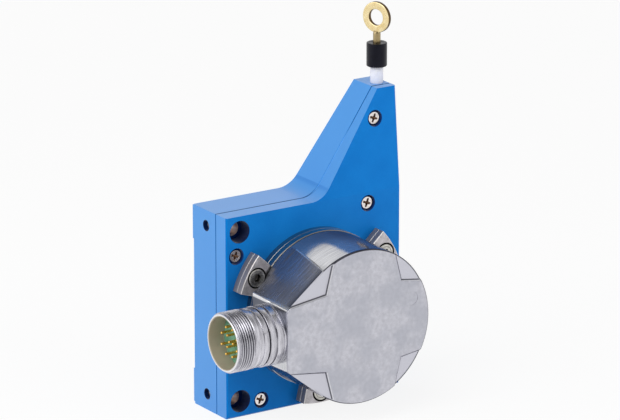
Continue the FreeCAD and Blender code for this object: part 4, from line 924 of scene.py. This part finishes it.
def contact_pins():
    """Twelve turned pins with domed tips, on the circles of the insert: quarter ellipses turned round."""
    dome = np.linspace(0.0, np.pi / 2, 6)
    tip = np.stack([PIN_R * np.sin(dome), PIN_TIP - 0.35 * (1 - np.cos(dome))], -1)
    profile = np.vstack([tip, [(PIN_R, PIN_ROOT), (0.0, PIN_ROOT)]])
    parts = []
    for count, circle in PIN_CIRCLES:
        for number in range(count):
            turn = 2 * math.pi * (number + 0.5) / count
            centre = (CONNECTOR_X, CONNECTOR_Y + circle * math.cos(turn), AXIS_Z + circle * math.sin(turn))
            grid = round_grid(profile[:, 0], profile[:, 1], centre, OUT, FRONT, 24)
            parts.append(closed_surface(grid, "poles"))
    return piece("domed_pins", parts, "gold_pin", "housing", ["contact_pins"])


def nozzle():
    """Nozzle of the wire: turned profile with soft edges and a narrower lip."""
    spigot_r = 2.0
    profile = eased([(NOZZLE_BORE_R, NOZZLE_FOOT_Z), (spigot_r, NOZZLE_FOOT_Z), (spigot_r, NECK_TOP_Z),
                     (NOZZLE_R, NECK_TOP_Z), (NOZZLE_R, NOZZLE_TOP_Z - 0.8),
                     (NOZZLE_LIP_R, NOZZLE_TOP_Z - 0.5), (NOZZLE_LIP_R, NOZZLE_TOP_Z),
                     (NOZZLE_BORE_R + 0.5, NOZZLE_TOP_Z), (NOZZLE_BORE_R, NOZZLE_TOP_Z - 0.5)],
                    (0, 0.1, 0, 0.12, 0.2, 0.15, 0.25, 0.2, 0.1))
    grid = round_grid(profile[:, 0], profile[:, 1], (WIRE_X, WIRE_Y, 0.0), UP, RIGHT, 64)
    return piece("guide_nozzle", [closed_surface(grid, "loop")], "white_plastic", "housing", ["wire_nozzle"])


def buffer_sleeve():
    """Buffer sleeve: turned profile with rounded ends and a shallow dish round the stem."""
    dish_z = SLEEVE_TOP_Z - 0.15
    bore_z = SLEEVE_Z + 2.0
    profile = eased([(WIRE_BORE_R, SLEEVE_Z), (SLEEVE_R, SLEEVE_Z), (SLEEVE_R, SLEEVE_TOP_Z),
                     (2.6, SLEEVE_TOP_Z), (2.2, dish_z), (SLEEVE_BORE_R, dish_z), (SLEEVE_BORE_R, bore_z),
                     (WIRE_BORE_R, bore_z)], (0, 0.45, 0.35, 0.2, 0.2, 0.1, 0, 0))
    grid = round_grid(profile[:, 0], profile[:, 1], (WIRE_X, WIRE_Y, 0.0), UP, RIGHT, 80)
    return piece("buffer_sleeve", [closed_surface(grid, "loop")], "black_sleeve", "wire_end", ["stop_sleeve"])


def ring_and_stem():
    """Ring with a superellipse section carried round its circle, on a turned stem with a rounded shoulder.

    Section = half size times the signed cosine and sine, each to the power of two over nine.
    """
    axis = (-math.sin(RING_TURN), math.cos(RING_TURN), 0.0)
    around = np.linspace(0.0, 2 * np.pi, 40, endpoint=False)
    power = 2.0 / 9.0
    across = RING_HALF_WIDTH * np.sign(np.cos(around)) * np.abs(np.cos(around)) ** power
    deep = RING_HALF_THICKNESS * np.sign(np.sin(around)) * np.abs(np.sin(around)) ** power
    ring = round_grid(RING_MIDDLE_R + across, deep, (WIRE_X, WIRE_Y, RING_Z), axis, UP, 96)
    # Painted shade on the ring's rim and, at a lower share, on the stem
    on_rim = smooth_step(np.abs(across), 1.3, 1.4) * (1.0 - smooth_step(np.abs(deep), 0.7, 0.79))
    stem_shade = 0.6
    bore_r = 0.93
    bore_top = STEM_Z + 5.16
    profile = eased([(0.0, 99.3), (1.2, 99.2), (STEM_R, 98.3), (STEM_R, STEM_Z), (WIRE_BORE_R, STEM_Z),
                     (WIRE_BORE_R, STEM_Z + 1.0), (bore_r, STEM_Z + 1.0), (bore_r, bore_top),
                     (0.0, bore_top)],
                    (0, 0.3, 0.4, 0.1, 0, 0, 0, 0, 0), loop=False)
    stem = round_grid(profile[:, 0], profile[:, 1], (WIRE_X, WIRE_Y, 0.0), UP, RIGHT, 64)
    parts = [closed_surface(marked(ring, on_rim[:, None]), "loop"),
             closed_surface(marked(stem, stem_shade), "poles")]
    return piece("brass_ring", parts, "brass_eye", "eye", ["ring_eye"])


def pull_wire():
    """Seven-strand wire, a scalloped rod: section radius = the wire's less a scallop between outer strands.

    The scallops turn once round in each lay.
    """
    cols = 36
    outer_strands = 6
    scallop = 0.055
    height = np.linspace(WIRE_FOOT_Z, WIRE_TOP_Z, 200)
    turn = np.linspace(0.0, 2 * np.pi, cols, endpoint=False)
    strand = outer_strands * (turn - 2 * np.pi * height[:, None] / STRAND_LAY)
    radius = WIRE_R - scallop * (1 - np.abs(np.cos(strand / 2)))
    radius = np.vstack([np.zeros(cols), radius, np.zeros(cols)])
    height = np.concatenate([height[:1], height, height[-1:]])
    grid = round_grid(radius, height, (WIRE_X, WIRE_Y, 0.0), UP, RIGHT, cols)
    surface = closed_surface(grid, "poles")
    made = piece("strand_wire", [surface], "stainless_wire", "", ["measuring_wire"], crease=60.0)
    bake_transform(made)
    return made


WHITE = (1.0, 1.0, 1.0, 1.0)
ROOM_WAY = (-0.52, -0.8, 0.29)  # from the part to the camera


def studio_floor():
    """Pale floor: white to the camera, to reflections and through glass, with part of the shadow kept."""
    made = bpy.data.materials.new("pale_floor")
    made.use_nodes = True
    tree = made.node_tree
    tree.nodes.clear()
    rays = add(tree, "ShaderNodeLightPath").outputs
    seen = largest(tree, rays["Is Camera Ray"], rays["Is Glossy Ray"], rays["Is Transmission Ray"])
    place = add(tree, "ShaderNodeTexCoord").outputs["Object"]
    # White hides 0.85 of the shadow within 0.4 m of the part, and all of it from 1.6 m on
    away = add(tree, "ShaderNodeVectorMath", {0: place}, operation="LENGTH").outputs["Value"]
    share = add(tree, "ShaderNodeMapRange", {
        "Value": away, "From Min": 0.4, "From Max": 1.6, "To Min": 0.85, "To Max": 1.0}).outputs[0]
    dust = add(tree, "ShaderNodeTexNoise", {"Vector": place, "Scale": 6.0, "Detail": 3.0}).outputs[0]
    paint = add(tree, "ShaderNodeMix", {0: dust, 6: linear("F4F4F4"), 7: linear("FAFAFA")}, data_type="RGBA")
    matte = add(tree, "ShaderNodeBsdfDiffuse", {"Color": paint.outputs[2]})
    white = add(tree, "ShaderNodeEmission", {"Color": WHITE, "Strength": 1.0})
    mixed = add(tree, "ShaderNodeMixShader", {
        0: product(tree, seen, share), 1: matte.outputs[0], 2: white.outputs[0]})
    add(tree, "ShaderNodeOutputMaterial", {"Surface": mixed.outputs[0]})
    mesh = bpy.data.meshes.new("studio_floor")
    reach = 6.0
    level = FLOOR_Z * MM
    corners = [(x, y, level) for x, y in ((-reach, -reach), (reach, -reach), (reach, reach), (-reach, reach))]
    mesh.from_pydata(corners, [], [(0, 1, 2, 3)])
    mesh.materials.append(made)
    floor = bpy.data.objects.new("studio_floor", mesh)
    scene.collection.objects.link(floor)


def studio_world():
    """Studio round the object: white to the camera, and an even grey as light.

    What the metal mirrors has dark parts: a ceiling, a panel at the back left and the room behind the camera.
    """
    world = bpy.data.worlds.new("studio")
    scene.world = world
    world.use_nodes = True
    tree = world.node_tree
    tree.nodes.clear()
    rays = add(tree, "ShaderNodeLightPath").outputs
    way = add(tree, "ShaderNodeTexCoord").outputs["Generated"]
    across, _, height = split(tree, way)
    overhead = ramp(tree, height, 0.65, 0.9, unit=1.0)
    left_panel = product(tree, ramp(tree, height, 0.4, 0.5, unit=1.0),
                         ramp(tree, across, 0.0, -0.13, unit=1.0))
    ceiling = add(tree, "ShaderNodeMapRange", {
        "Value": largest(tree, overhead, left_panel), "To Min": 1.0, "To Max": 0.2}).outputs[0]
    facing = add(tree, "ShaderNodeVectorMath", {0: way, 1: ROOM_WAY}, operation="DOT_PRODUCT")
    room = add(tree, "ShaderNodeMapRange", {
        "Value": facing.outputs["Value"], "From Min": 0.72, "From Max": 0.95,
        "To Min": 1.0, "To Max": 0.15}).outputs[0]
    mirrored = add(tree, "ShaderNodeMath", {0: ceiling, 1: room}, operation="MINIMUM").outputs[0]
    bounced = largest(tree, rays["Is Glossy Ray"], rays["Is Transmission Ray"])
    strength = add(tree, "ShaderNodeMix", {0: bounced, 2: 0.5, 3: mirrored}).outputs[0]
    strength = add(tree, "ShaderNodeMix", {0: rays["Is Camera Ray"], 2: strength, 3: 1.0}).outputs[0]
    shade = add(tree, "ShaderNodeBackground", {"Color": WHITE, "Strength": strength})
    add(tree, "ShaderNodeOutputWorld", {"Surface": shade.outputs[0]})


studio_world()
studio_floor()
dress_cad_nodes()
shell_screws()
lug_screws()
connector_barrel()
connector_collar()
contact_pins()
nozzle()
buffer_sleeve()
ring_and_stem()
pull_wire()

bpy.context.view_layer.update()
